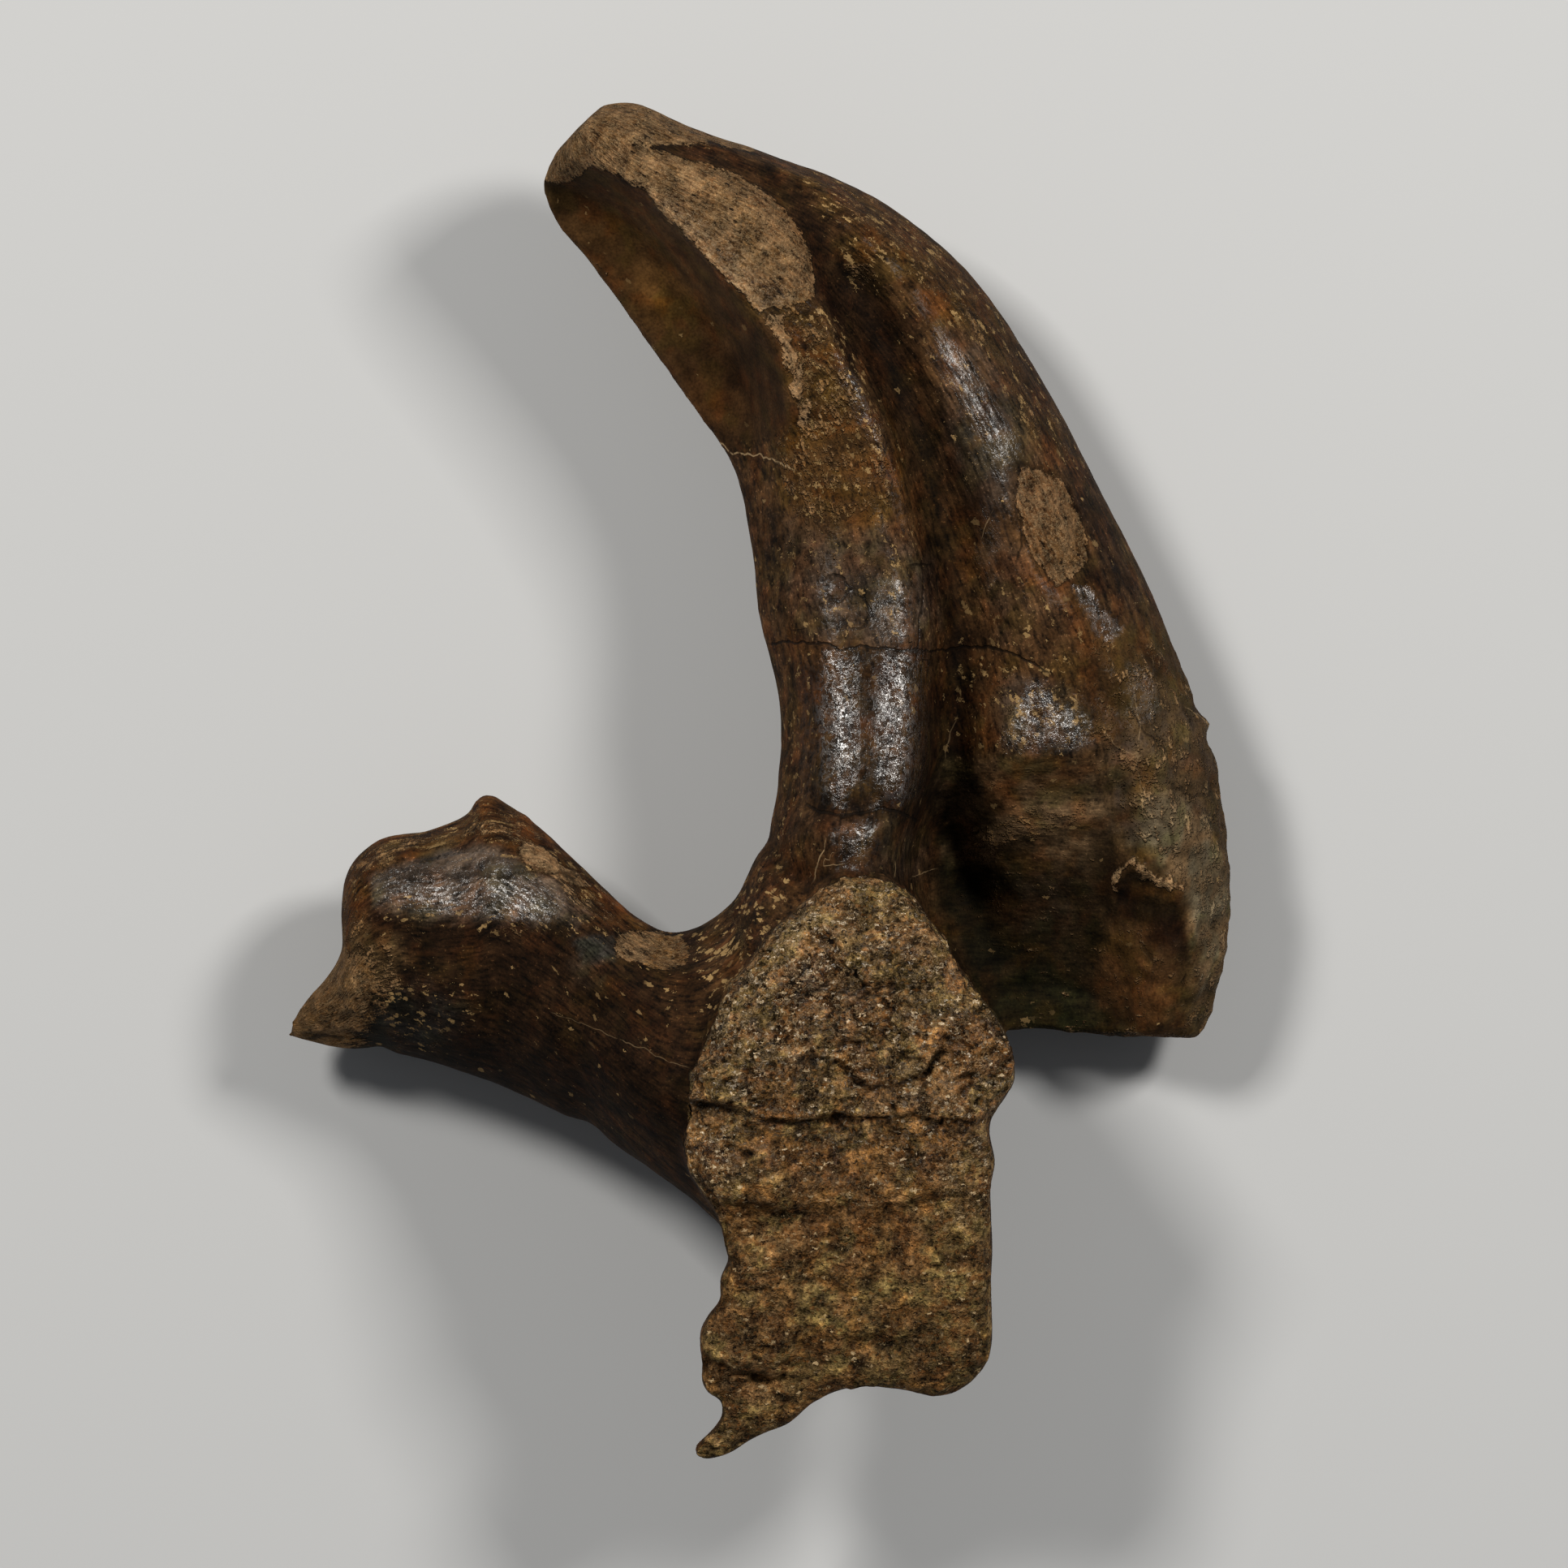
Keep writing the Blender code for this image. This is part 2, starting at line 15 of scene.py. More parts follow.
import bmesh
import bpy
import numpy as np
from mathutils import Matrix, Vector


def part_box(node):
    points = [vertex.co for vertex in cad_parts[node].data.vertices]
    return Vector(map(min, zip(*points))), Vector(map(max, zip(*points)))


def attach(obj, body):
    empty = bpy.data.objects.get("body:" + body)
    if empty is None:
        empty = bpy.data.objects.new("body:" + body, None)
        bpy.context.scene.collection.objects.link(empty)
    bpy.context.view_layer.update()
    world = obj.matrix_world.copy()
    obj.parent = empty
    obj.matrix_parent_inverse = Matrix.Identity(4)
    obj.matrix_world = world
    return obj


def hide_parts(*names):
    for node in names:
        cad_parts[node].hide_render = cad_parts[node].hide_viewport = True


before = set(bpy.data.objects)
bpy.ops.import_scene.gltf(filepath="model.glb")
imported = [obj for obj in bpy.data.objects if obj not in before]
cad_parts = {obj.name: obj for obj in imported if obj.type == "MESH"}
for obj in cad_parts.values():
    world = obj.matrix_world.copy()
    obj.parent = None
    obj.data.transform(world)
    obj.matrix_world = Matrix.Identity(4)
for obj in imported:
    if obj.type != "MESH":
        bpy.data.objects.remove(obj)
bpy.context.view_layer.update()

log = logging.getLogger("bone")

MM = 0.001
PART = "vertebra_process"
BODY = "root"

# A line or an outline in plan: X,Y of one corner after the other, in millimetres.
Line = Sequence[float]
Array = np.ndarray
Socket = bpy.types.NodeSocket
Colour = tuple[float, float, float]
Size = tuple[float, float, float]

# The corners of a unit cube, and the cells round a cell, for the two kinds of noise.
CUBE_CORNERS = np.array([(x, y, z) for x in (0, 1) for y in (0, 1) for z in (0, 1)])
NEAR_CELLS = np.array([(x, y, z) for x in (-1, 0, 1) for y in (-1, 0, 1) for z in (-1, 0, 1)])
# What depth_inside and the cracks give for a point that is far from every line.
FAR = 9.0


# Curves, noise and places in plan.


def corners_of(line: Line) -> Array:
    """Gives a line's corners, one row of X and Y each."""
    return np.reshape(line, (-1, 2)).astype(float)


def smooth_curve(points: Any, samples: int, closed: bool) -> Array:
    """Draws a smooth curve through points.

    Each span is a cubic whose end slopes are the neighbours' slopes, weighed by the root of the distances.

    Args:
        points: The points, of any trailing shape, so whole ribs can be blended as well.
        samples: How many points to return.
        closed: Whether the curve comes back to its first point.

    Returns:
        The curve's points, in an array of `samples` rows.
    """
    points = np.asarray(points, float)
    flat = points.reshape(len(points), -1)
    if closed:
        flat = np.vstack([flat[-1:], flat, flat[:2]])
    else:
        flat = np.vstack([2 * flat[:1] - flat[1:2], flat, 2 * flat[-1:] - flat[-2:-1]])
    step = np.linalg.norm(np.diff(flat, axis=0), axis=1) ** 0.5
    slope = np.diff(flat, axis=0) / step[:, None]
    weighed = slope[:-1] * step[1:, None] + slope[1:] * step[:-1, None]
    tangent = weighed / (step[:-1] + step[1:])[:, None]
    spans = len(step) - 2
    place = np.linspace(0.0, spans, samples, endpoint=not closed)
    span = np.minimum(place.astype(int), spans - 1)
    t = (place - span)[:, None]
    reach = step[span + 1][:, None]
    curve = (
        (2 * t**3 - 3 * t**2 + 1) * flat[span + 1]
        + (t**3 - 2 * t**2 + t) * reach * tangent[span]
        + (3 * t**2 - 2 * t**3) * flat[span + 2]
        + (t**3 - t**2) * reach * tangent[span + 1]
    )
    return curve.reshape((samples,) + points.shape[1:])


def eased(value: Array, low: float, high: float) -> Array:
    """Goes from 0 at low to 1 at high along the curve 3t^2 - 2t^3."""
    t = np.clip((value - low) / (high - low), 0.0, 1.0)
    return t * t * (3.0 - 2.0 * t)


def scrambled(cell: Array, salt: int) -> Array:
    """Gives each whole-number cell a number that looks random and is the same each run.

    The cell's numbers and the salt, each times a large prime, are mixed by shifts and products of 32 bits.

    Args:
        cell: Whole numbers, three in each row.
        salt: Picks one of many such sets of numbers.

    Returns:
        Numbers from 0 to 1.
    """
    mixed = cell[..., 0] * 73856093 ^ cell[..., 1] * 19349663 ^ cell[..., 2] * 83492791 ^ salt * 2654435761
    mixed = mixed & 0xFFFFFFFF
    mixed = ((mixed ^ (mixed >> 15)) * 2246822519) & 0xFFFFFFFF
    mixed = ((mixed ^ (mixed >> 13)) * 3266489917) & 0xFFFFFFFF
    return (mixed ^ (mixed >> 16)) / 2.0**32


def swell(points: Array, size: float, salt: int = 0) -> Array:
    """Works out gradient noise: each cell corner has a random slope, and the slopes' heights are blended.

    Args:
        points: Where, one row a point.
        size: How wide one lump is.
        salt: Picks one of many such noises.

    Returns:
        Heights from about -1 to 1.
    """
    place = points / size
    cell = np.floor(place).astype(np.int64)
    part = place - cell
    ease = part**3 * (part * (part * 6.0 - 15.0) + 10.0)
    total = np.zeros(len(points))
    for corner in CUBE_CORNERS:
        turn = 2.0 * np.pi * scrambled(cell + corner, salt)
        lean = 2.0 * scrambled(cell + corner, salt + 1) - 1.0
        flat = np.sqrt(1.0 - lean**2)
        away = part - corner
        height = away[:, 0] * flat * np.cos(turn) + away[:, 1] * flat * np.sin(turn) + away[:, 2] * lean
        total += height * np.prod(np.where(corner, ease, 1.0 - ease), axis=1)
    return 1.7 * total


def layered(points: Array, size: float, layers: int, salt: int = 0) -> Array:
    """Adds up layers of gradient noise, each half the size and 0.55 of the height of the one before."""
    return sum(0.55**k * swell(points, size / 2**k, salt + 7 * k) for k in range(layers))


@dataclass(frozen=True)
class Lumps:
    """Layers of noise: how high they are, how wide the widest are, how many layers, and which of many."""

    height: float
    size: float
    layers: int
    salt: int

    def at(self, points: Array) -> Array:
        """Gives the height at each point."""
        return self.height * layered(points, self.size, self.layers, self.salt)


@dataclass(frozen=True)
class Clouds:
    """Patches of noise: their share, their noise, and where in it they start and are full."""

    share: float
    size: float
    layers: int
    salt: int
    start: float
    full: float

    def at(self, points: Array) -> Array:
        """Gives the patches' share at each point."""
        noise = layered(points, self.size, self.layers, self.salt)
        return self.share * eased(noise, self.start, self.full)


@dataclass(frozen=True)
class Blotches:
    """A factor that comes and goes: its middle, the noise added to it, and its bounds."""

    middle: float
    lumps: Lumps
    low: float
    high: float

    def at(self, points: Array) -> Array:
        """Gives the factor at each point."""
        return np.clip(self.middle + self.lumps.at(points), self.low, self.high)


@dataclass(frozen=True)
class Wavering:
    """A push in plan by two noises, which makes the edges of places ragged."""

    reach: float
    size: float
    layers: int
    salts: tuple[int, int] = (5, 9)

    def push(self, points: Array) -> Array:
        """Pushes each point along X by the first noise and along Y by the second."""
        along = [layered(points, self.size, self.layers, salt) for salt in self.salts]
        return points + self.reach * np.column_stack([*along, np.zeros(len(points))])


def pebbles(points: Array, size: float, salt: int = 0) -> Array:
    """Works out how near each point is to the nearest of one random spot a cell.

    Args:
        points: Where, one row a point.
        size: The cells' width.
        salt: Picks one of many such patterns.

    Returns:
        1 at a spot, falling to 0 at a whole cell's width from it.
    """
    place = points / size
    cell = np.floor(place).astype(np.int64)
    nearest = np.full(len(points), FAR)
    for offset in NEAR_CELLS:
        at = cell + offset
        spot = at + np.stack([scrambled(at, salt + k) for k in range(3)], axis=-1)
        nearest = np.minimum(nearest, ((place - spot) ** 2).sum(axis=1))
    return np.clip(1.0 - np.sqrt(nearest), 0.0, 1.0)


def gaps_to(points: Array, a: Array, b: Array) -> tuple[Array, Array]:
    """Finds the nearest place on a straight run from a to b.

    Args:
        points: Where, one row a point; only the first two columns count.
        a: Where the run starts.
        b: Where it ends.

    Returns:
        The share of the run at that place, from 0 to 1, and the way from it to the point, one row a point.
    """
    along = b - a
    share = np.clip((points[:, :2] - a) @ along / (along @ along), 0.0, 1.0)
    return share, points[:, :2] - a - share[:, None] * along


def distance_to_line(points: Array, line: Line, closed: bool = False) -> Array:
    """Measures each point's distance in plan from the nearest of a line's straight runs.

    Args:
        points: Where, one row a point; only the first two columns count.
        line: The line.
        closed: Whether its last corner is joined to its first.

    Returns:
        Millimetres.
    """
    corners = corners_of(line)
    ends = np.roll(corners, -1, axis=0) if closed else corners[1:]
    nearest = np.full(len(points), np.inf)
    for a, b in zip(corners, ends):
        _, gap = gaps_to(points, a, b)
        nearest = np.minimum(nearest, (gap**2).sum(axis=1))
    return np.sqrt(nearest)


def depth_inside(points: Array, outline: Line) -> Array:
    """Measures how far inside an outline each point is in plan.

    The nearest edge gives the distance. A point is inside if a ray to its right crosses the edges an odd
    number of times.

    Args:
        points: Where, one row a point; only the first two columns count.
        outline: The outline, in either direction.

    Returns:
        Millimetres, above zero inside; a flat low value far outside.
    """
    corners = corners_of(outline)
    plan = points[:, :2]
    margin = FAR / 2.0
    near = np.all((plan > corners.min(axis=0) - margin) & (plan < corners.max(axis=0) + margin), axis=1)
    some = points[near]
    inside = np.zeros(len(some), bool)
    for a, b in zip(corners, np.roll(corners, -1, axis=0)):
        straddles = (a[1] > some[:, 1]) != (b[1] > some[:, 1])
        crossing = a[0] + (some[:, 1] - a[1]) * (b[0] - a[0]) / (b[1] - a[1] or 1.0)
        inside ^= straddles & (some[:, 0] < crossing)
    depth = np.full(len(points), -FAR)
    depth[near] = np.where(inside, 1.0, -1.0) * distance_to_line(some, outline, closed=True)
    return np.maximum(depth, -FAR)


def covered(points: Array, outlines: Sequence[Line], edge: float) -> Array:
    """Covers the points inside any of the outlines: 1 inside, 0 outside, eased over the edge's width."""
    return np.max([eased(depth_inside(points, outline), -edge, edge) for outline in outlines], axis=0)


# Relief.


@dataclass(frozen=True)
class Stroke:
    """A hollow, or a ridge where its height is above zero, along a line on the upper or the ground side."""

    line: Line
    width: float
    height: float
    upper: bool = True

    def lift(self, points: Array) -> Array:
        """Raises each point by the height times exp(-(distance / width)^2)."""
        return self.height * np.exp(-((distance_to_line(points, self.line) / self.width) ** 2))


@dataclass(frozen=True)
class Dot:
    """A round pit or a small spike: where it is, how wide, and how deep or high."""

    x: float
    y: float
    width: float
    height: float

    def away(self, points: Array) -> Array:
        """Measures how far each point is from the dot in plan, in widths of the dot."""
        return np.hypot(points[:, 0] - self.x, points[:, 1] - self.y) / self.width


@dataclass(frozen=True)
class Ledge:
    """A shelf across the suture face: below its line, drawn left to right, the bone drops."""

    line: Line
    drop: float
    recovery: float
    lip: float = 0.9
    waver: Lumps = Lumps(0.8, 5.0, 1, 21)
    fine_waver: Lumps = Lumps(0.45, 1.9, 1, 23)
    unevenness: Lumps = Lumps(0.9, 8.0, 1, 25)

    def lift(self, points: Array) -> Array:
        """Drops each point past the line, sharply at first, then fading as exp(-distance / recovery).

        Two sizes of noise make the line waver, and a third makes the drop stronger and weaker along it.

        Args:
            points: Where, one row a point.

        Returns:
            How far each point is lifted, zero or below.
        """
        line = corners_of(self.line)
        waver = self.waver.at(points) + self.fine_waver.at(points)
        below = np.interp(points[:, 0], line[:, 0], line[:, 1]) - points[:, 1] + waver
        fallen = eased(below, -self.lip / 2.0, self.lip / 2.0)
        fading = np.exp(-np.maximum(below, 0.0) / self.recovery)
        past_end = np.maximum(line[0, 0] - points[:, 0], points[:, 0] - line[-1, 0])
        ending = np.exp(-((np.maximum(past_end, 0.0) / self.recovery) ** 2))
        strength = np.clip(0.75 + self.unevenness.at(points), 0.15, 1.3)
        return -self.drop * strength * fallen * fading * ending


LEDGES = (
    Ledge((-9,-47.5, -4,-48, 0,-49.5, 5,-50.2, 12,-49.3, 22,-49.5, 30,-50, 36,-49), 3.4, 7.0, 0.7),
    Ledge((-8,-61, -5,-62, 0,-63.5, 5,-64.3, 12,-64, 20,-63, 26,-62), 2.0, 6.0, 2.6),
    Ledge((11,-41, 15,-44.3, 20,-45, 24,-43, 26,-40), 2.0, 3.0),
    Ledge((-9,-43.5, -4,-44.5, 2,-46, 8,-45.5), 0.8, 3.0, 1.8),
    Ledge((26,-46, 31,-45.5, 37,-44), 1.0, 3.0, 1.4),
    Ledge((-10,-52, -6,-53, -2,-55), 0.8, 3.0, 1.6),
    Ledge((-9,-85, -3,-87, 3,-88), 1.8, 4.0, 2.0),
    Ledge((15,-82.5, 20,-83, 26,-82), 1.0, 4.0, 2.4),
)

STROKES = (
    # The joint face is dished beside its rim, and the rim is sharp.
    Stroke((-26,86, -19,80, -12,72, -5,62, -1,54), 5.0, -2.2),
    Stroke((-24,90.5, -17,86.5, -11,80, -5,73.5, 0,68, 4,61, 5,54), 1.6, 1.1),
    # The worn band's far edge, and the dark strip that runs beside it.
    Stroke((-15,94, -7,92, 0,89.5, 5,85, 10,78, 11,72), 2.8, -1.0),
    # A thin crest stands on the column's right edge, beside the groove.
    Stroke((9,70, 12,62, 15,56, 18,50, 21.5,42, 23,34), 1.8, 0.9),
    Stroke((15,73, 17.5,66, 20.5,58, 24,50, 26.5,42, 28.5,32, 29.5,20, 29,8, 27.5,-2), 3.2, -1.1),
    # The canal's mouth is a deep pit between the column's foot and the roof.
    Stroke((27,-4, 29,-10, 31,-17), 3.2, -3.0),
    # The column's crown is nearly flat, and a crease crosses its foot.
    Stroke((16,30, 16.4,18, 16.4,6, 16,-2), 4.4, -1.1),
    Stroke((6,-3.5, 13,-5, 20,-4.5, 24,-6), 2.2, -1.1),
    # The main ridge has a slight crest down its length.
    Stroke((26.5,70, 30,63, 34,54, 37,44, 39,34), 6.0, -1.0),
    # A big flake has come off the ridge's outer side.
    Stroke((41,43, 44,37, 46,31.5), 4.0, -1.2),
    # The canal's far wall has a chipped lip with a hollow below it.
    Stroke((53,-14.5, 57,-13.5, 62,-16), 2.6, 0.7),
    Stroke((56,-18.5, 59,-22, 60,-28), 4.5, -1.4),
    Stroke((63,-17, 65,-24, 64.5,-33), 2.2, 1.0),
    Stroke((30,-12, 36,-8.5, 44,-6, 50,-5), 2.5, 0.9),
    # The side process has a rim along its top edge, and a shallow trough inside it.
    Stroke((-58,-13, -50,-10, -42,-7.5, -36,-9.5, -31,-13), 1.5, 0.5),
    Stroke((-57,-23, -45,-27, -32,-31, -18,-36), 6.0, -1.2),
    # On the ground side: an oval joint face's dish, the stub of the spine, a foramen and a shallow trough.
    Stroke((-46,-18, -40,-24, -35,-30), 5.0, -1.6, upper=False),
    Stroke((58,14, 62,2, 63,-8), 3.0, 1.5, upper=False),
    Stroke((9,29, 10.5,25), 2.0, -1.4, upper=False),
    Stroke((20,60, 28,40, 30,20), 5.0, -1.2, upper=False),
)

# Narrow relief that the plain solid leaves out.
FINE_STROKES = (
    Stroke((-24.5,90.3, -20,88.6, -17,86.6, -14,83.2, -11,80.2, -8,77, -5,73.6, -2,70.6), 0.9, 0.8),
    Stroke((-2,70.6, 0,68, 1,66, 3,63, 4.3,60, 5,56, 5.2,52), 0.8, 0.5),
    Stroke((9,70, 12,62, 15,56, 16.5,51, 20,46, 21.5,42, 22.3,38), 0.8, 0.55),
    Stroke((22.3,38, 24.5,33, 26.3,29, 27,24), 0.9, 0.35),
    Stroke((-6.5,50, -4,48.2, 0,48, 5,45.5), 0.7, 0.3),
    Stroke((52.6,-18.5, 52.8,-14.8, 54.8,-12.8, 57,-13.5, 60,-15.3, 62.6,-17), 0.6, 0.6),
    Stroke((54.2,-17.2, 55.4,-14.8, 58,-15.4, 60.4,-17.4), 0.9, -0.6),
    Stroke((61.5,-19.5, 63.2,-25, 63,-31), 1.0, -0.5),
    Stroke((48,16, 51,11, 50.5,5, 53,0, 56,-3.5, 55,-9), 1.3, -0.45),
    Stroke((53.5,15, 56,8, 59,3, 60,-4, 62.5,-9), 1.5, 0.4),
    Stroke((51,20, 55,17, 60,12), 1.2, -0.35),
    Stroke((60,-1, 64,-3, 67,-3), 1.2, -0.4),
    Stroke((36,-31.5, 42,-30.3, 49,-31.5, 53,-34), 0.9, -0.35),
    Stroke((37,-34.5, 43,-33.4, 50,-35), 1.2, 0.3),
    Stroke((38,-18, 44,-17.5, 51,-18.5), 0.9, -0.2),
    Stroke((40,-24, 46,-23, 51,-24.5), 0.8, -0.2),
    Stroke((7.5,-4.3, 10,-3.2, 13,-4.6, 17,-4, 19,-4.8), 0.55, -0.3),
    Stroke((13,27.8, 15.5,26, 16,23.5, 15,22), 0.6, -0.25),
    Stroke((10,28, 11.5,29.2, 12.5,27.5, 11.3,26.3), 0.6, -0.25),
    Stroke((23.6,27, 23.4,23, 23,19), 0.5, -0.3),
    Stroke((27,-4.5, 28.6,-3.6, 28.2,-7), 0.8, 0.8),
    Stroke((-57,-14, -50,-11.5, -42,-9.5, -38,-10, -33,-13.5, -27,-15), 0.5, -0.2),
    Stroke((-27,-14.3, -23.5,-17.5, -20,-20.3, -17,-22.2), 0.8, 0.6),
    Stroke((-61.5,-24, -57,-29.5, -54,-34), 2.2, -0.5),
    Stroke((-66.5,-39, -61.5,-38.2, -59,-39), 0.7, -0.9),
    Stroke((-55,-33, -44,-34.5, -33,-37, -20,-41), 5.0, 0.45),
)

# Round pits.
PITS = (
    Dot(7.5, -41.3, 1.1, 1.3), Dot(1.8, -42.0, 0.9, 1.0), Dot(19.0, -84.0, 2.0, 0.8),
    Dot(25.5, -72.5, 1.3, 0.8), Dot(29.0, -68.0, 1.3, 0.7), Dot(0.5, -89.0, 2.0, 0.9),
    Dot(24.6, -43.2, 0.8, 0.9), Dot(-5.0, -76.8, 1.0, 1.2), Dot(-61.5, -35.5, 0.9, 0.9),
    Dot(-33.0, -11.0, 0.5, 0.5), Dot(-34.2, -9.5, 0.4, 0.4), Dot(-2.5, 86.0, 0.6, 0.5),
    Dot(-8.5, 89.0, 0.5, 0.5), Dot(-6.0, 76.0, 0.5, 0.5), Dot(12.0, -39.5, 1.0, 0.7),
    Dot(3.0, -37.0, 0.7, 0.6), Dot(30.0, -46.5, 0.9, 0.7), Dot(-1.5, -54.8, 0.8, 0.8),
    Dot(13.0, -62.0, 1.6, 0.6), Dot(34.8, -38.0, 0.6, 0.4), Dot(-2.5, -65.5, 4.0, 1.3),
    Dot(8.5, -65.0, 3.2, 1.1), Dot(20.0, -68.0, 3.0, 0.6), Dot(19.0, -37.5, 3.0, 0.8),
    Dot(9.0, -30.0, 2.4, 0.5), Dot(1.0, -36.0, 2.0, 0.5), Dot(24.0, -57.0, 2.2, 0.5),
    Dot(5.0, -72.0, 3.0, 0.4),
)

# Small spikes on the outline.
SPIKES = (Dot(66.6, 8.2, 1.3, 1.3), Dot(-41.2, -4.4, 1.3, 0.6), Dot(-35.0, -6.3, 1.2, 0.4))

# Places with more relief than the smooth bone: outline, and how high their lumps are.
LUMPY_PLACES = (
    ((50,18, 60,24, 68,8, 74,-10, 72,-34, 64,-42, 50,-40, 52,-28, 56,-20, 52,-10, 50,2), 0.34),
    ((28,3, 50,3, 52,-12, 52,-24, 48,-36, 34,-36, 28,-20), 0.16),
    ((-34,86, -25,91, 0,92, 4,98, -20,103, -36,98), 0.26),
    ((-72,-28, -60,-22, -56,-30, -58,-42, -74,-42), 0.34),
    ((-60,-14, -42,-1, -34,-4, -24,-14, -33,-12, -42,-8, -52,-10, -58,-13), 0.14),
    ((4,92, 22,86, 36,70, 44,52, 38,52, 30,66, 20,74, 8,84), 0.12),
    ((2,66, 8,70, 15,52, 20,44, 12,38, 4,44, 5,56), 0.12),
    ((36,16, 44,15, 50,5, 36,3), 0.08),
)

# Where the skin is smoothed further, because the ribs leave it too sharp: a line and a radius.
SOFT_PLACES = (
    ((4,88, 9,80, 12,72, 17,64, 20.5,58, 24,50, 26.5,42, 28.5,32, 29.5,20, 29,8, 28,0), 4.5),
    ((26,-12, 30,-24, 38,-35, 48,-36), 4.0),
    ((-26,-19, -20,-24, -14,-25), 3.0),
)


@dataclass(frozen=True)
class Flake:
    """A place where the smooth outer bone has come off: its outline, and how deep the step down is."""

    outline: Line
    depth: float
    step: float = 0.5

    def lift(self, points: Array) -> Array:
        """Lowers each point inside by the depth, eased over the step's width."""
        return -self.depth * eased(depth_inside(points, self.outline), -self.step, self.step)


# The worn places. The suture face and the broken edges have no smooth bone left.
WORN_BAND = (
    -25,90.2, -21,89, -17,86.5, -14,83, -11,80, -8,77, -5,73.5, -2,70.5, 0,68.5, 2.5,69.5, 5,69.8, 8,71,
    8.2,73.5, 7.6,77, 6.3,80, 4.8,82.5, 2.5,85, 0,87.3, -3,89, -7,90.2, -12,91.6, -17,93.4, -22,93,
)
HORN_TIP = (
    -33,88.6, -30,88.2, -28.5,88, -27,88.8, -25,90.3, -21,92.5, -17,93.6, -12,93.2, -8,93.8, -4,93, -1,92.6,
    0,95, -10,98, -18,101, -26,101, -30,96, -34,91,
)
WORN_PATCH = (
    38.5,46, 44,45, 46,42, 47.2,39.5, 48,37, 49,32, 47,30.6, 44,28.4, 42.5,30.2, 41.3,31.4, 40,33.5, 39,36,
    38.6,38.5, 37.8,41,
)
SADDLE_PATCH = (
    -21.2,-22.4, -21.2,-26, -18.6,-26.6, -16.7,-27.3, -12.6,-28, -10.6,-27, -10.4,-25, -11.4,-23.2,
    -15.5,-22.3,
)
PROCESS_END = (
    -63,-24, -60.5,-25.5, -57.5,-28, -56.5,-31, -58,-33.5, -59.5,-37, -61,-40.5, -66,-41, -72,-37, -68,-31,
    -65,-27,
)
RIM_CHIPS = (-35.5,-9.3, -32,-10, -28.5,-12.8, -25,-15.8, -26.5,-16, -29,-14.8, -33.5,-13.2, -36,-11)
SHINY_CHIP = (46,28.6, 48.6,28.2, 51,25, 54,22.2, 51.2,20.3, 49.6,22, 48,25.2)
BROKEN_EDGE = (60.5,22, 62.5,15, 63.5,9, 66,3, 67,-5, 68,-14, 67.8,-22, 66.2,-30, 64,-40, 75,-40, 75,22)
FRONT_EDGE = (38,-37.2, 48,-36.2, 56,-36.8, 64,-37.5, 64,-42, 38,-42)
BARE_PLACES = (WORN_BAND, HORN_TIP, WORN_PATCH, PROCESS_END, SADDLE_PATCH)
BROKEN_EDGES = (BROKEN_EDGE, FRONT_EDGE)
FLAKES = (
    Flake(WORN_BAND, 0.25), Flake(WORN_PATCH, 0.6), Flake(SADDLE_PATCH, 0.3), Flake(RIM_CHIPS, 0.25),
    Flake(SHINY_CHIP, 0.3),
)

# The roof of the nerve canal, whose fibres run across.
CANAL = (26,2.5, 49,2.8, 52,-6, 52.5,-14, 51,-22, 50,-27, 56,-34, 60,-40, 34,-40, 24,-26)
# The roof's worn outer part, whose fibres hardly show.
WING = (50,22, 60,24, 74,0, 72,-42, 54,-40, 52,-20, 53,-6, 49,8)
# The horn's joint face, which is smooth.
JOINT_FACE = (-33,88, -25,90, -17,86, -8,76.5, 0,67, 4,60, 4.6,52, -5,50, -12,55, -22,68, -35,86)
# The horn's right flank, where the lacquer's wrinkles are long fine streaks.
STREAKY_FLANK = (8,84, 24,78, 37,66, 45,50, 46,34, 36,30, 28,44, 22,56, 12,68)
# Where it is dull for all that it is whole.
DULL_PLACES = (
    (14,75, 20,66, 22.5,58, 26,50, 29,42, 31,32, 32,20, 31,4, 26,0, 26.5,12, 26.5,24, 25.5,32, 24,42, 21,50,
        17,58, 13,68),
    (-15,95, -7,93.5, 0,92, 7,88, 11,83, 13,74, 9.5,70, 6.5,79, 3,84.5, -3,89, -9,91.5),
    (26,3.5, 50,3.5, 54,-6, 54,-20, 52,-34, 64,-36, 64,-42, 34,-42, 24,-18),
    (-33,88, -25,91, -17,86.5, -8,77, 0,68, 4.5,60, 5,51, -6,49, -12,54, -22,68, -34,84),
    (-56,-21, -24,-22, -8,-28, -8,-70, -30,-58, -60,-44),
)


# The three lobes.


@dataclass(frozen=True)
class Rib:
    """A lobe's cross-section: its ends, shares and heights along its upper side, and its ground heights."""

    start: tuple[float, float, float]
    end: tuple[float, float, float]
    front: Sequence[float]
    back: Sequence[float]
    bow: float = 0.0

    def ring(self, back_shares: Sequence[float]) -> Array:
        """Gives the section's points: start, the upper side, end, and back along the ground side.

        Args:
            back_shares: Where along the rib its ground heights are, as shares of the way to its end.

        Returns:
            The points, one row each.
        """
        start = np.array(self.start)
        end = np.array(self.end)
        upper_shares, upper_heights = np.reshape(self.front, (-1, 2)).T
        shares = np.concatenate([upper_shares, back_shares])
        between = start + (end - start) * shares[:, None]
        between[:, 1] += self.bow * 4.0 * shares * (1.0 - shares)
        between[:, 2] = np.concatenate([upper_heights, self.back])
        split = len(upper_shares)
        return np.vstack([start, between[:split], end, between[split:]])


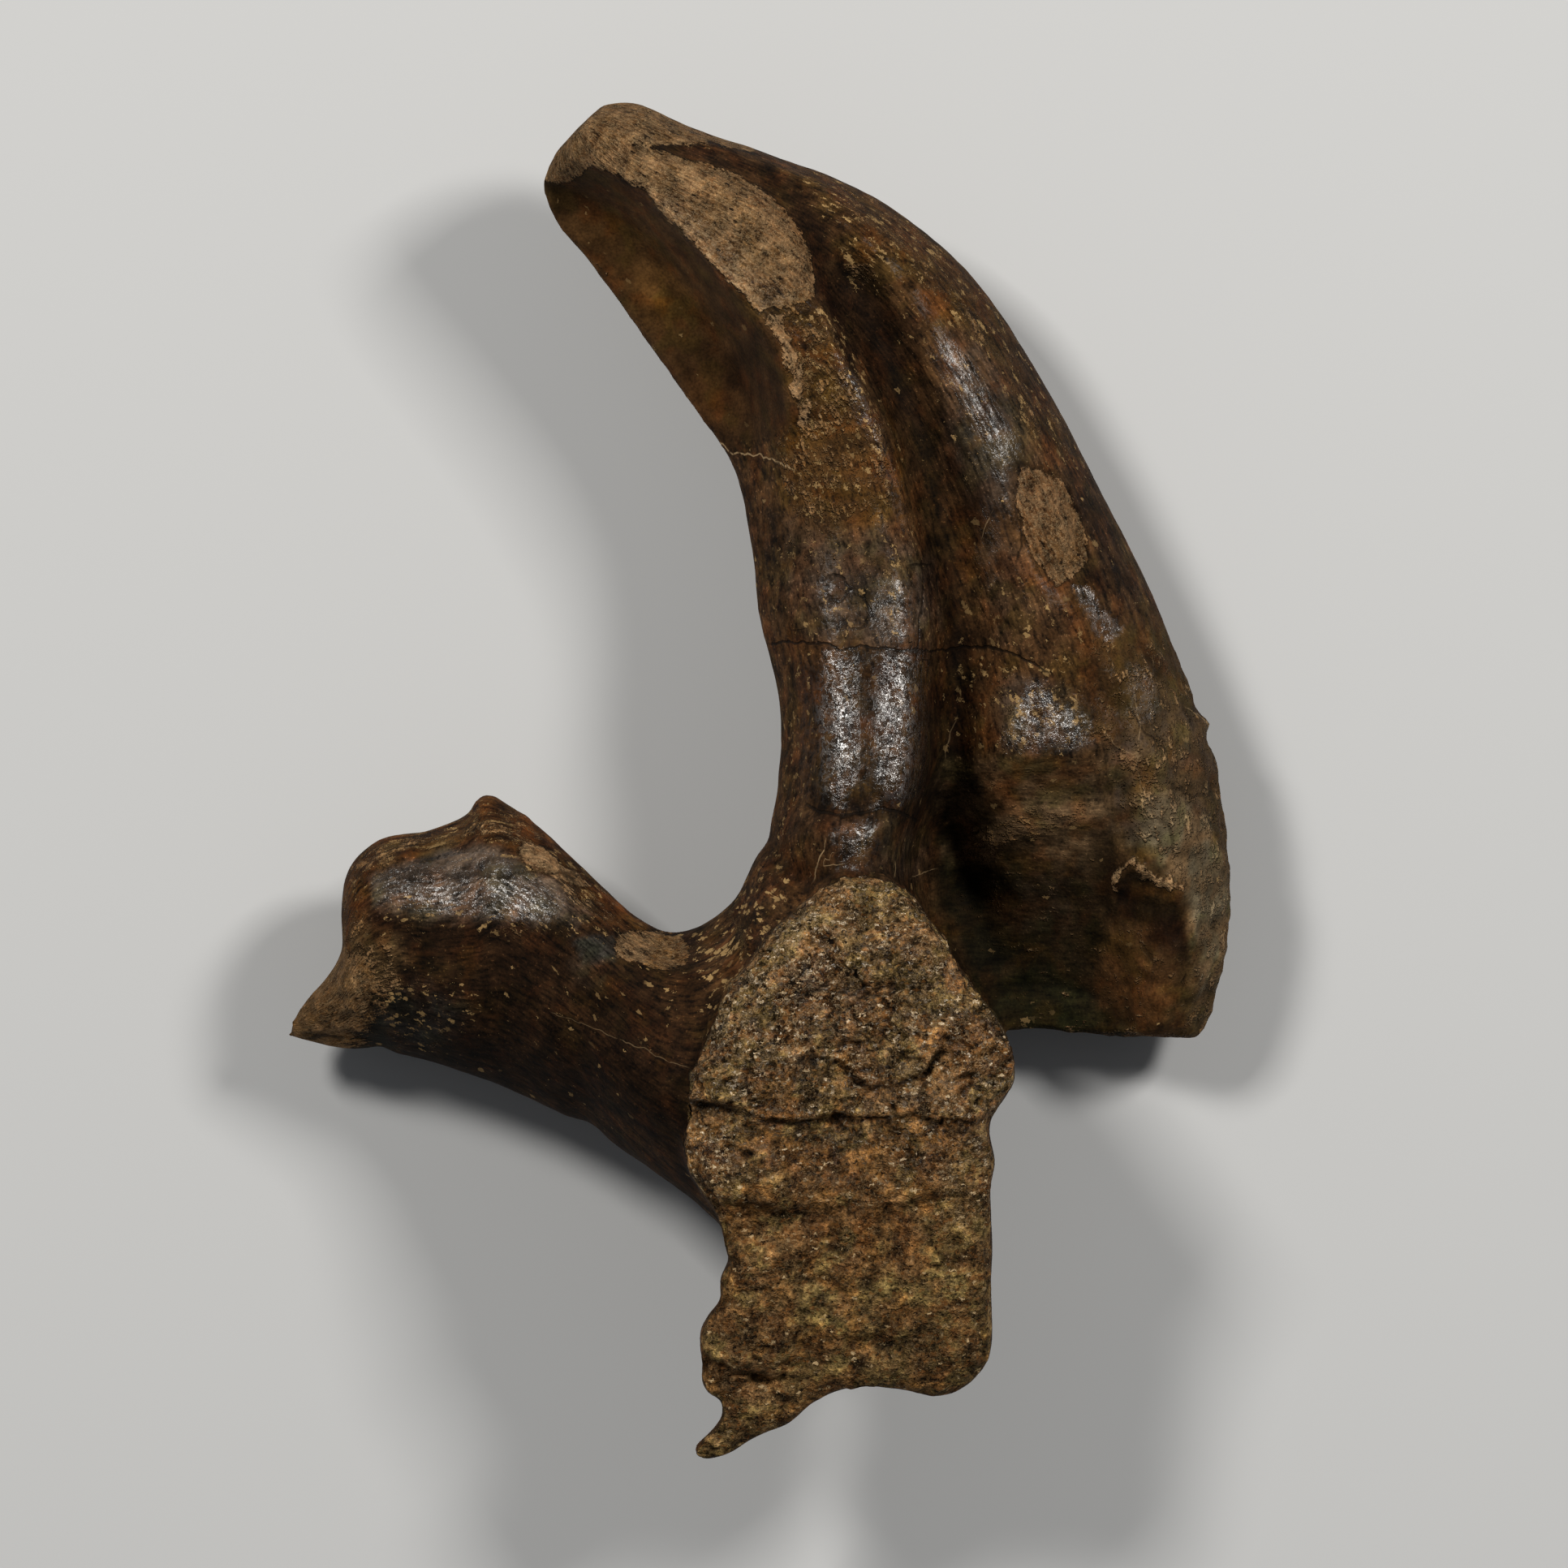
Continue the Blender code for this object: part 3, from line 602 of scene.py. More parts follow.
def mesh_over(name: str, rings: Array) -> bpy.types.Object:
    """Makes a closed mesh over rings of points.

    Point k of a ring is joined to point k + 1 and to the same points of the next ring. Each end is a fan.

    Args:
        name: The object's name.
        rings: Rings by points by X, Y and Z.

    Returns:
        The object, linked to the scene.
    """
    rows, around, _ = rings.shape
    points = np.vstack([rings.reshape(-1, 3), rings[0].mean(axis=0), rings[-1].mean(axis=0)])
    number = np.arange(rows * around).reshape(rows, around)
    after = np.roll(number, -1, axis=1)
    walls = np.stack([number[:-1], after[:-1], after[1:], number[1:]], axis=-1).reshape(-1, 4)
    first = np.stack([number[0], np.full(around, rows * around), after[0]], axis=-1)
    last = np.stack([number[-1], after[-1], np.full(around, rows * around + 1)], axis=-1)
    mesh = bpy.data.meshes.new(name)
    mesh.from_pydata(points, [], walls.tolist() + first.tolist() + last.tolist())
    body = bmesh.new()
    body.from_mesh(mesh)
    bmesh.ops.recalc_face_normals(body, faces=body.faces)
    body.to_mesh(mesh)
    body.free()
    made = bpy.data.objects.new(name, mesh)
    bpy.context.scene.collection.objects.link(made)
    return made


@dataclass(frozen=True)
class RibbedLobe:
    """A lobe skinned over a row of ribs, with the way that its fibres run."""

    name: str
    ribs: tuple[Rib, ...]
    back_shares: tuple[float, ...]
    mean_width: float
    round_samples: int = 72
    length_samples: int = 120
    flow_ribs: int = 56

    def build(self) -> bpy.types.Object:
        """Skins the lobe: a smooth closed curve through each rib, and smooth curves along the bone."""
        rings = [rib.ring(self.back_shares) for rib in self.ribs]
        sections = [smooth_curve(ring, self.round_samples, closed=True) for ring in rings]
        return mesh_over(self.name, smooth_curve(np.array(sections), self.length_samples, closed=False))

    def flow(self, points: Array) -> Array:
        """Works out where each point is along and across the lobe, as its fibres run.

        A point lies between the two ribs that it is on opposite sides of, at the share of the way that its
        distances from their lines give. Along is the middle line's length to there, and across is the share
        of the rib, times a mean width.

        Args:
            points: Where, one row a point.

        Returns:
            Along, across and height, in millimetres, one row a point.
        """
        left = smooth_curve([rib.start[:2] for rib in self.ribs], self.flow_ribs, closed=False)
        right = smooth_curve([rib.end[:2] for rib in self.ribs], self.flow_ribs, closed=False)
        reach = right - left
        length = np.linalg.norm(reach, axis=1)
        gap_x = points[:, :1] - left[:, 0]
        gap_y = points[:, 1:2] - left[:, 1]
        past = (reach[:, 0] * gap_y - reach[:, 1] * gap_x) / length
        share = (reach[:, 0] * gap_x + reach[:, 1] * gap_y) / length**2
        crossed = (past[:, :-1] > 0.0) != (past[:, 1:] > 0.0)
        cost = np.abs(share[:, :-1] - 0.5) + 4.0 * ~crossed + 0.02 * np.abs(past[:, :-1])
        best = cost.argmin(axis=1)
        row = np.arange(len(points))
        here = past[row, best]
        there = past[row, best + 1]
        part = np.clip(here / np.where(here == there, 1.0, here - there), -0.5, 1.5)
        middle = (left + right) / 2.0
        run = np.concatenate([[0.0], np.cumsum(np.linalg.norm(np.diff(middle, axis=0), axis=1))])
        along = run[best] + part * (run[best + 1] - run[best])
        across = share[row, best] * (1.0 - part) + share[row, best + 1] * part
        return np.column_stack([along, np.clip(across, -0.5, 1.5) * self.mean_width, points[:, 2]])


HORN_AND_ROOF = RibbedLobe("horn_and_roof", (
    Rib((-30.2, 92.3, 33), (-23.0, 99.5, 34), (0.1,35.5, 0.2,37.3, 0.3,38.5, 0.42,39.3, 0.54,39.6, 0.65,39.5,
        0.76,38.9, 0.86,37.8, 0.94,36), (27, 25, 27)),
    Rib((-32.0, 88.0, 28), (-18.0, 99.5, 33), (0.08,31, 0.15,33.8, 0.24,36.8, 0.36,40.8, 0.48,42.8, 0.62,43,
        0.74,42, 0.84,40.5, 0.93,37.5), (21, 18, 20)),
    Rib((-30.2, 82.5, 25), (-9.2, 95.8, 29), (0.22,29.5, 0.36,38.5, 0.5,45, 0.6,46.2, 0.7,46, 0.84,43.5,
        0.89,41.5, 0.93,39, 0.975,34), (17, 13, 15.5)),
    Rib((-25.3, 76.5, 24), (3.0, 91.7, 25), (0.24,30.5, 0.35,40.5, 0.44,46.5, 0.56,47.2, 0.68,46.5, 0.84,41.5,
        0.9,39.8, 0.94,37, 0.975,32.5), (13, 8.5, 13)),
    Rib((-18.8, 67.5, 23), (17.0, 86.0, 20), (0.21,30, 0.3,40, 0.38,47, 0.5,46.5, 0.62,45, 0.74,40, 0.82,39.4,
        0.89,37, 0.95,31), (7.5, 5, 12)),
    Rib((-10.7, 56.0, 23), (31.0, 75.0, 16), (0.18,31, 0.26,41, 0.325,46.5, 0.42,45.8, 0.5,44, 0.63,35,
        0.77,38.2, 0.86,36.6, 0.945,29.5), (2.2, 1.6, 11.5)),
    Rib((-3.8, 46.0, 25), (42.2, 58.7, 14), (0.09,34, 0.15,40.5, 0.22,43.8, 0.34,44.6, 0.45,44, 0.57,33.5,
        0.72,38.3, 0.83,36.8, 0.93,29.5), (-0.4, 0.6, 13)),
    Rib((-1.1, 34.0, 27), (51.0, 42.0, 13), (0.06,36.5, 0.136,42, 0.203,44.2, 0.3,45.3, 0.395,44, 0.535,32,
        0.7,38, 0.83,36.2, 0.93,29.5), (-0.4, 2.6, 14)),
    Rib((0.2, 24.0, 28), (58.6, 27.0, 13.5), (0.048,38.5, 0.108,43.6, 0.168,46, 0.27,47.1, 0.375,45.8, 0.5,30,
        0.67,37, 0.79,35.8, 0.905,29.5), (1.5, 5, 14)),
    Rib((3.0, 12.0, 29), (64.3, 13.0, 14.5), (0.049,40.5, 0.09,44.8, 0.13,47.4, 0.215,48.7, 0.312,47.5,
        0.415,29, 0.57,35.2, 0.75,34.3, 0.885,30), (2.5, 6, 14)),
    Rib((3.3, 5.0, 30), (66.9, 6.0, 15), (0.05,41.5, 0.087,46, 0.124,48.8, 0.205,50.2, 0.295,48.9, 0.395,27.5,
        0.56,36, 0.75,34.4, 0.87,30.5), (2.5, 6, 13.5)),
    Rib((3.1, 2.5, 30), (68.0, 2.6, 15.3), (0.05,42, 0.088,46.6, 0.126,49.4, 0.205,50.8, 0.29,49.3,
        0.385,26.5, 0.55,34.6, 0.74,33.6, 0.865,30.5), (2.3, 5.8, 13.3)),
    Rib((2.8, -2.0, 30), (68.9, -2.5, 15.5), (0.05,43, 0.09,47.6, 0.13,50.2, 0.2,51.5, 0.275,49.9, 0.375,23.5,
        0.54,29.5, 0.72,30.5, 0.86,30.5), (2.0, 5.5, 13)),
    Rib((1.9, -9.5, 31), (70.2, -12.5, 16), (0.05,46, 0.09,49.8, 0.13,52, 0.19,51.5, 0.25,48.5, 0.36,17,
        0.56,22.5, 0.72,26, 0.85,29.5), (1.0, 5, 12)),
    Rib((5.0, -20.0, 29), (70.1, -22.5, 15), (0.07,46, 0.1,48.8, 0.13,50, 0.18,48.3, 0.23,44, 0.355,14,
        0.555,15, 0.72,21.5, 0.85,27), (-1.0, 4.5, 11)),
    Rib((17.0, -29.5, 24), (68.4, -31.2, 13), (0.06,38, 0.09,39.6, 0.12,40, 0.16,37.8, 0.205,33.5, 0.31,13,
        0.53,12.5, 0.7,17.5, 0.84,23.5), (-1.4, 4.5, 10)),
    Rib((24.0, -38.8, 15), (66.2, -38.8, 11), (0.06,20, 0.09,20.2, 0.12,20, 0.16,18.8, 0.205,16.8, 0.3,12,
        0.53,11.5, 0.7,14.8, 0.84,19), (1.5, 4.5, 8), bow=2.0),
), (0.8, 0.5, 0.2), 45.0)

SIDE_PROCESS = RibbedLobe("side_process", (
    Rib((-68.2, -33.9, 14), (-70.2, -38.2, 12.5), (0.2,16.5, 0.45,17.5, 0.75,16), (10, 10)),
    Rib((-62.2, -26.0, 17), (-63.0, -40.0, 12), (0.15,21, 0.4,24, 0.75,21), (5, 4)),
    Rib((-62.1, -18.5, 19), (-58.0, -40.0, 11.5), (0.12,24.5, 0.36,28.5, 0.75,25), (2, 1)),
    Rib((-60.7, -13.0, 19.5), (-54.5, -40.7, 12), (0.05,24.5, 0.13,28.2, 0.35,31, 0.74,28), (0.0, -0.5)),
    Rib((-56.0, -8.9, 19.5), (-50.0, -41.8, 13), (0.05,26, 0.14,30.3, 0.36,33, 0.73,30.5), (0.0, -0.5)),
    Rib((-49.0, -7.8, 19.5), (-44.5, -43.5, 14.5), (0.05,27, 0.15,32, 0.37,35.3, 0.72,33.5), (1.5, 0)),
    Rib((-43.0, -5.2, 19), (-40.0, -45.1, 16), (0.06,27.5, 0.16,33.3, 0.39,36.8, 0.7,35.5), (4, 1)),
    Rib((-40.5, -2.4, 19), (-37.5, -46.1, 17), (0.06,27.5, 0.17,34, 0.41,37.8, 0.7,37), (5, 2)),
    Rib((-37.8, -3.7, 20), (-34.5, -47.3, 18), (0.06,28.5, 0.17,35, 0.41,38.8, 0.7,38.5), (6, 3)),
    Rib((-32.0, -8.0, 22), (-28.5, -50.1, 20), (0.05,31, 0.15,37, 0.37,41.3, 0.7,41.5), (8, 6)),
    Rib((-25.0, -14.3, 25), (-22.0, -53.6, 24), (0.12,37.5, 0.25,44.5, 0.7,46), (12, 9)),
    Rib((-18.0, -20.7, 28), (-16.0, -57.8, 28), (0.1,40, 0.2,47, 0.7,50.5), (16, 12)),
    Rib((-11.5, -22.8, 30), (-10.2, -61.8, 32), (0.1,42, 0.22,50, 0.7,54), (19, 14)),
    Rib((-4.0, -18.5, 31), (-5.0, -66.0, 36), (0.1,43, 0.25,52, 0.7,56), (23, 15)),
    Rib((1.5, -9.6, 31), (2.0, -66.0, 38), (0.12,46, 0.28,53, 0.7,56), (27, 17)),
    Rib((14.0, -10.0, 32), (10.0, -60.0, 40), (0.12,46, 0.28,53, 0.7,56), (31, 22)),
    Rib((22.0, -16.0, 36), (20.0, -52.0, 42), (0.12,46, 0.28,50, 0.7,53), (36, 31)),
), (0.7, 0.35), 38.0)

SUTURE_OUTLINE = (
    12.5,-14.3, 9,-16, 5,-19.5, 1.5,-22.5, -1.5,-27, -4.5,-30, -6.5,-35, -8,-39, -10,-43, -10.3,-48, -11,-53,
    -10.7,-57, -9,-60, -5.9,-64.5, -4.9,-68, -4.4,-71, -5.9,-74, -5.4,-76.5, -7.4,-79, -8.7,-82, -8.2,-86,
    -8.5,-88, -7.5,-90.5, -5.5,-91.2, -5.4,-94, -7.5,-96.5, -9.6,-98.6, -9,-99.9, -6,-100, -3.5,-99,
    -1.5,-97.5, 1.5,-96, 4.5,-94.8, 7.5,-92, 11,-90.3, 15,-89.3, 18,-89.5, 22,-90, 26,-90.9, 29,-90.2, 32,-88,
    34,-85, 34.4,-80, 34.2,-75, 34.4,-70, 34.2,-65, 34.2,-60, 34.8,-56, 34,-53, 34,-50.5, 35.5,-48, 37.8,-44,
    37,-40, 36.5,-37.5, 33.5,-33.5, 30.5,-29, 28.3,-26, 27.5,-23.5, 25,-20.5, 23,-17.5, 20.5,-15.5,
    16.5,-14.2,
)


@dataclass(frozen=True)
class Pedicle:
    """The pedicle: a cushion with a tight edge between the suture face and the bone's ground side.

    The front and the back are lines of Y and height, along the face and along the ground side.
    """

    name: str = "pedicle"
    spine_x: float = 13.0
    spine_ends: tuple[float, float] = (-80.0, -30.0)
    edge_power: float = 7.0
    rings: int = 40
    front: Line = (
        -100,45, -92,48.5, -85,52, -75,55, -66,57, -58,59.5, -48,61.5, -40,62.5, -30,61.8, -22,59.5, -14,54.5,
    )
    back: Line = (-100,40, -92,37.5, -80,33, -65,27, -55,23.5, -45,22, -30,24, -14,30)

    def build(self) -> bpy.types.Object:
        """Skins the pedicle.

        Each ring is the outline drawn in towards a spine by sin(t)^(2/7), at a height between the upper and
        the ground side that goes as cos(t)^(2/7).

        Returns:
            The pedicle's object.
        """
        corners = corners_of(SUTURE_OUTLINE)
        outline = smooth_curve(corners, 3 * len(corners), closed=True)
        spine_y = np.clip(outline[:, 1], *self.spine_ends)
        spine = np.column_stack([np.full(len(outline), self.spine_x), spine_y])
        front_at, front = corners_of(self.front).T
        back_at, back = corners_of(self.back).T
        turn = np.linspace(0.0, np.pi, self.rings + 2)[1:-1, None]
        reach = np.sin(turn) ** (2.0 / self.edge_power)
        lift = np.sign(np.cos(turn)) * np.abs(np.cos(turn)) ** (2.0 / self.edge_power)
        plan = spine + (outline - spine) * reach[:, :, None]
        high = np.interp(plan[..., 1], front_at, front)
        low = np.interp(plan[..., 1], back_at, back)
        height = (high + low) / 2.0 + (high - low) / 2.0 * lift
        return mesh_over(self.name, np.concatenate([plan, height[..., None]], axis=-1))


# Tints and marks laid on in places.


class Tint(Enum):
    """The bone's named colours, as the share of red, green and blue light that each gives back."""

    UMBER = (0.058, 0.0285, 0.0105)
    DARK_UMBER = (0.02, 0.0088, 0.0034)
    BLACK_BROWN = (0.013, 0.0064, 0.0026)
    CHESTNUT = (0.086, 0.038, 0.012)
    RUST = (0.125, 0.048, 0.012)
    OCHRE = (0.15, 0.07, 0.0185)
    TAN = (0.15, 0.088, 0.035)
    CREAM = (0.185, 0.104, 0.043)
    SAND = (0.118, 0.065, 0.0255)
    CHALK = (0.215, 0.13, 0.065)
    GOLD = (0.13, 0.068, 0.0215)
    ASHEN = (0.11, 0.075, 0.038)
    PINK_BONE = (0.165, 0.082, 0.034)
    GREEN_BLACK = (0.0108, 0.0092, 0.0034)
    OLIVE = (0.074, 0.05, 0.0165)
    SAGE = (0.112, 0.078, 0.026)
    MOSS = (0.017, 0.0156, 0.0047)
    # Real grey in places; laid on glossy places it is painted sheen.
    LILAC_GREY = (0.098, 0.067, 0.045)
    PALE_GREY = (0.19, 0.148, 0.088)
    SLATE = (0.03, 0.027, 0.023)


@dataclass(frozen=True)
class Stain:
    """A tinted place: its tint, how strong it is, how wide its edge is, and how much blotches thin it."""

    outline: Line
    tint: Tint
    share: float = 0.9
    edge: float = 1.5
    patchy: float = 0.3
    upper: bool = True


STAINS = (
    # The horn's joint face.
    Stain((-33,88, -25,91, -17,86.5, -8,77, 0,68, 4.5,60, 5.5,52, 3,49, -5,48, -10,55, -20,69, -32,84),
        Tint.UMBER, 0.85, 0.8, 0.1),
    Stain((-28,84, -22,85, -14,79, -8,72, -7,66, -12,65, -19,72, -26,79), Tint.OCHRE, 0.45, 4.0),
    Stain((-18,74, -14,74.5, -12.5,71, -14,67.5, -16.5,68, -18,71), Tint.OCHRE, 1.0, 2.4, 0.1),
    Stain((-12,62, -6,66, 0,62, 2,56, -1,52, -7,52), Tint.CHESTNUT, 0.6, 3.0),
    Stain((-11,60, -5,60, -4,54, -7,50, -11,54), Tint.RUST, 0.35, 2.5),
    Stain((-6,63, 0,66, 3.5,60, 4.5,54, 1,52, -3,56), Tint.DARK_UMBER, 0.6, 2.5),
    # The dark strip beside the worn band, and the horn's brown right flank.
    Stain((-15,94.5, -7,93, 0,91.5, 6,88, 9,83, 10,77, 9.5,71, 8,71, 6.5,79, 3,84.5, -3,89, -9,91.5),
        Tint.DARK_UMBER, 0.85, 0.8, 0.15),
    Stain((8,90, 18,86, 28,78, 36,68, 40,58, 34,56, 28,64, 22,72, 14,80, 8,85), Tint.CHESTNUT, 0.6, 3.0, 0.6),
    Stain((12,84, 22,80, 31,73, 36,65, 31,64, 24,70, 14,77), Tint.OCHRE, 0.3, 4.0, 0.9),
    Stain((11,79, 15,79.5, 18,76, 19,73, 14,72, 12,75), Tint.OCHRE, 0.3, 2.0, 0.6),
    Stain((10,79, 14,80, 18,75, 21,68, 22,60, 18,62, 14,68, 11,73), Tint.DARK_UMBER, 0.55, 2.5),
    # The crest of ochre bone under the worn band, and the orange place below it.
    Stain((1.5,68, 5,69.5, 8.5,70, 9.5,66, 11,61, 13.5,55, 15.5,51, 12,49.5, 7,51, 5.2,55, 4.3,60, 3,64),
        Tint.OCHRE, 0.85, 1.2, 0.4),
    Stain((3,51, 10,52.5, 15.5,52, 18.5,48, 21,43.5, 21,39.5, 16,37.5, 10,36.5, 5,38, 2.5,42, 2,46),
        Tint.OCHRE, 0.8, 2.2, 0.5),
    Stain((12,47, 17,46, 20,42, 16,39, 11,41), Tint.RUST, 0.5, 2.2, 0.4),
    # The column: dark, grey-brown above the crack, darker along its left side and its foot.
    Stain((-4,47, 1,44, 2.5,30, 4.5,18, 5,6, 4.5,-6, 1,-14, -3,-14, 0,0, -1,20, -4,36), Tint.CHESTNUT, 0.55,
        2.5),
    # Grey above the crack: partly the bone's own grey, partly painted sheen of the lacquer's glints.
    Stain((5,38, 12,36, 20,37, 25,32, 26,24, 25,20, 15,20, 7,21, 4,28), Tint.LILAC_GREY, 0.65, 2.5, 0.6),
    Stain((4.5,19, 25,18.5, 26,8, 25,-3, 12,-4, 5,-2, 5,8), Tint.DARK_UMBER, 0.55, 1.5),
    Stain((24,12, 28,12, 29,2, 28,-5, 22,-6, 23,2), Tint.BLACK_BROWN, 0.7, 1.5),
    Stain((4,-4.5, 12,-5.5, 21,-5, 26,-9, 25,-15, 12,-14.5, 5,-17, -2,-13), Tint.DARK_UMBER, 0.5, 2.0),
    # Lilac grey on the bump at the column's foot is painted sheen.
    Stain((11,-6, 19,-5.5, 25,-10, 24,-14, 16,-13.8), Tint.LILAC_GREY, 0.25, 2.0, 0.6),
    # The groove and the main ridge.
    Stain((15,73, 20,66, 22.5,58, 26,50, 29,42, 31,32, 32,20, 31,4, 27,0, 27.5,12, 27,24, 26,32, 24.5,42,
        22,50, 18,58, 14,68), Tint.DARK_UMBER, 0.75, 1.8, 0.2),
    Stain((29,44, 32,36, 32,24, 29,22, 27.5,32, 27,42), Tint.CHESTNUT, 0.4, 1.6, 0.4),
    # Lilac grey down the ridge's crown is painted sheen, a broad soft reflection.
    Stain((27,67, 31,66.5, 35,60, 38.5,54, 41,48, 38,46.5, 37.5,41, 33,41, 29.5,46, 28,54), Tint.LILAC_GREY,
        0.5, 2.4, 0.5),
    Stain((34,66, 39,60, 45,48, 50,38, 56,26, 60,18, 63,8, 70,8, 70,30, 52,60, 38,76), Tint.UMBER, 0.7, 2.2,
        0.4),
    Stain((32,40, 38,36, 42,29, 48,22, 50,16, 46,8, 36,4, 33,14, 31,28), Tint.CHESTNUT, 0.6, 3.0),
    # Lilac grey on the body is partly painted sheen.
    Stain((33,38, 38,34, 42,27, 46,22, 42,18, 36,20, 32,30), Tint.LILAC_GREY, 0.35, 3.0, 0.6),
    Stain((39,26, 47,24, 50,17, 45,13, 39,17), Tint.CHESTNUT, 0.5, 3.0, 0.5),
    # Lilac grey on the triangle above the canal is painted sheen.
    Stain((36,15, 42,15, 48,10, 49.5,5, 36,3.5, 34.5,8), Tint.LILAC_GREY, 0.75, 1.6, 0.5),
    # The roof of the nerve canal.
    Stain((27,3.5, 36,2.6, 46,3.2, 50,0, 52.5,-6, 52.5,-14, 53,-20, 50,-26, 49,-30, 56,-35, 56,-39, 36,-39,
        30,-28, 26,-20, 26,-6), Tint.GREEN_BLACK, 0.92, 2.4, 0.3),
    # Painted light: chalk lifts the canal roof's upper part, which lies in the shadow that the ridge and the
    # column cast.
    Stain((27,3, 48,2.6, 52,-4, 50,-12, 40,-14, 28,-12), Tint.CHALK, 0.62, 1.8, 0.6),
    Stain((32,2, 44,2.6, 46,-1, 36,-3), Tint.RUST, 0.5, 1.5, 0.7),
    Stain((36,-10, 52,-6, 52,-20, 44,-24, 36,-20), Tint.UMBER, 0.6, 3.0, 0.7),
    # A real ochre band across the roof, laid on as bright chalk: partly its own colour, partly painted light
    # against the cast shadow.
    Stain((29,-12.5, 31,-8.5, 37,-6.2, 43,-4.2, 49,-4.3, 49,-6.3, 42,-7.8, 36,-9.3, 32,-12), Tint.CHALK, 1.0,
        1.0, 0.4),
    Stain((34,-29.5, 40,-29, 47,-30, 51,-34, 48,-37.5, 40,-38.5, 35.5,-36), Tint.MOSS, 0.75, 1.5, 0.3),
    Stain((37,-14, 47,-13, 50,-18, 47,-22, 39,-22), Tint.SLATE, 0.3, 3.0, 0.7),
    Stain((50,-23, 57,-21, 62,-22.5, 64,-28, 62,-34, 56,-36, 50,-33, 49,-27), Tint.RUST, 0.18, 2.0, 0.8),
    Stain((54,21, 60,23, 64,13, 68,5, 72,-4, 73,-18, 70,-34, 67,-40, 62,-40, 61,-34, 64,-27, 64,-19, 60,-14,
        54,-11.5, 53,-6, 51,0, 50,6, 52,13), Tint.OLIVE, 0.6, 3.0, 0.7),
    Stain((46,22, 54,20, 57,12, 56,4, 51,2, 48,8, 47,16), Tint.OCHRE, 0.5, 2.5, 0.7),
    Stain((52,10, 58,8, 62,-2, 58,-10, 53,-8, 51,0), Tint.LILAC_GREY, 0.9, 3.0, 0.8),
    Stain((59,14, 65,10, 69,-2, 69,-14, 64,-12, 60,0), Tint.LILAC_GREY, 1.0, 2.5, 0.5),
    Stain((56,20, 60,20, 62,12, 58,10), Tint.DARK_UMBER, 0.6, 2.0, 0.8),
    Stain((58,16, 62,14, 66,4, 69,-6, 70.5,-16, 69,-28, 65,-38, 64.5,-30, 65,-20, 62,-10, 57,-4, 54,2, 55,10),
        Tint.TAN, 0.75, 2.4, 0.9),
    Stain((64,6, 69,2, 71,-8, 69,-14, 65,-8, 63,0), Tint.DARK_UMBER, 0.5, 2.0, 0.6),
    # Painted shadow: black-brown in the hollow under the chipped lip.
    Stain((55,-17.5, 58,-16.5, 61.5,-18, 63,-21, 64,-27, 62,-27, 60,-22, 56,-20.5, 53.5,-20),
        Tint.BLACK_BROWN, 0.85, 0.7, 0.1),
    # The side process: brown above, very dark below, grey along the ridge that is partly painted sheen, tan
    # at the rim and the broken end.
    Stain((-64,-10, -42,0, -20,-16, -8,-20, -6,-40, -9,-62, -30,-52, -58,-42, -72,-38), Tint.DARK_UMBER, 0.95,
        2.0, 0.15),
    Stain((-56,-34, -40,-38, -24,-42, -10,-44, -10,-66, -30,-54, -50,-45, -60,-41), Tint.BLACK_BROWN, 0.65,
        4.0, 0.2),
    Stain((-64,-12, -57,-7, -42,0, -34,-3, -22,-15, -15,-21, -20,-24, -26,-19, -27,-15.5, -33,-13.8,
        -38,-10.2, -43,-9.8, -50,-11.6, -57.5,-14, -58.5,-20, -57,-26, -63,-25), Tint.RUST, 0.75, 0.8, 0.5),
    Stain((-58,-9, -50,-7, -43,-5, -43,-9.5, -50,-11.4, -56,-13), Tint.TAN, 0.45, 1.0, 0.9),
    # The glossy slope's lilac grey is partly painted sheen.
    Stain((-57.6,-14.3, -54,-12.8, -50,-11.8, -46,-10.4, -42,-9.8, -38,-10.2, -35.5,-12, -33,-13.8, -29,-15.2,
        -26,-17.2, -24.5,-19.5, -27,-21, -36,-20.6, -46,-20.5, -54,-20, -57.8,-19), Tint.LILAC_GREY, 0.95,
        0.8, 0.2),
    Stain((-27.5,-23, -21.5,-23, -21.3,-26.8, -26,-27), Tint.SLATE, 0.9, 0.7, 0.2),
    Stain((-57.5,-33, -51,-30, -44,-33, -45,-38, -52,-40, -58.5,-39.5), Tint.SLATE, 0.75, 2.0, 0.6),
    Stain((-28,-26, -24,-26.5, -23,-29.5, -27,-30.5), Tint.LILAC_GREY, 0.3, 1.3, 0.5),
    Stain((-36,-46, -22,-50, -14,-54, -12,-62, -24,-56, -36,-50), Tint.CHESTNUT, 0.45, 2.5, 0.7),
    Stain((-62.5,-22, -56,-22, -52,-26, -54,-31, -58,-34, -62,-42, -72,-38, -68,-30), Tint.TAN, 0.8, 1.5,
        0.5),
    Stain((-9,-24, -1,-16, 4,-20, -4,-30, -6,-38, -10,-40, -14,-30), Tint.CHESTNUT, 0.35, 3.0, 0.5),
    # Worn and stained places on the ground side.
    Stain((-50,-14, -42,-12, -33,-22, -30,-32, -38,-34, -48,-26), Tint.TAN, 0.45, 3.0, 0.6, upper=False),
    Stain((40,-34, 64,-34, 68,0, 56,12, 44,0), Tint.OLIVE, 0.5, 5.0, 0.7, upper=False),
    Stain((-20,90, 10,84, 30,66, 36,44, 20,40, 4,60, -20,74), Tint.CHESTNUT, 0.5, 6.0, 0.7, upper=False),
    # A grey band down the roof's outer edge.
    Stain((57,-2, 62,-2, 67,-8, 70,-18, 68,-30, 65,-31, 64.2,-20, 63,-15, 59,-12.5, 55,-9), Tint.PALE_GREY,
        1.0, 1.2, 0.45),
)

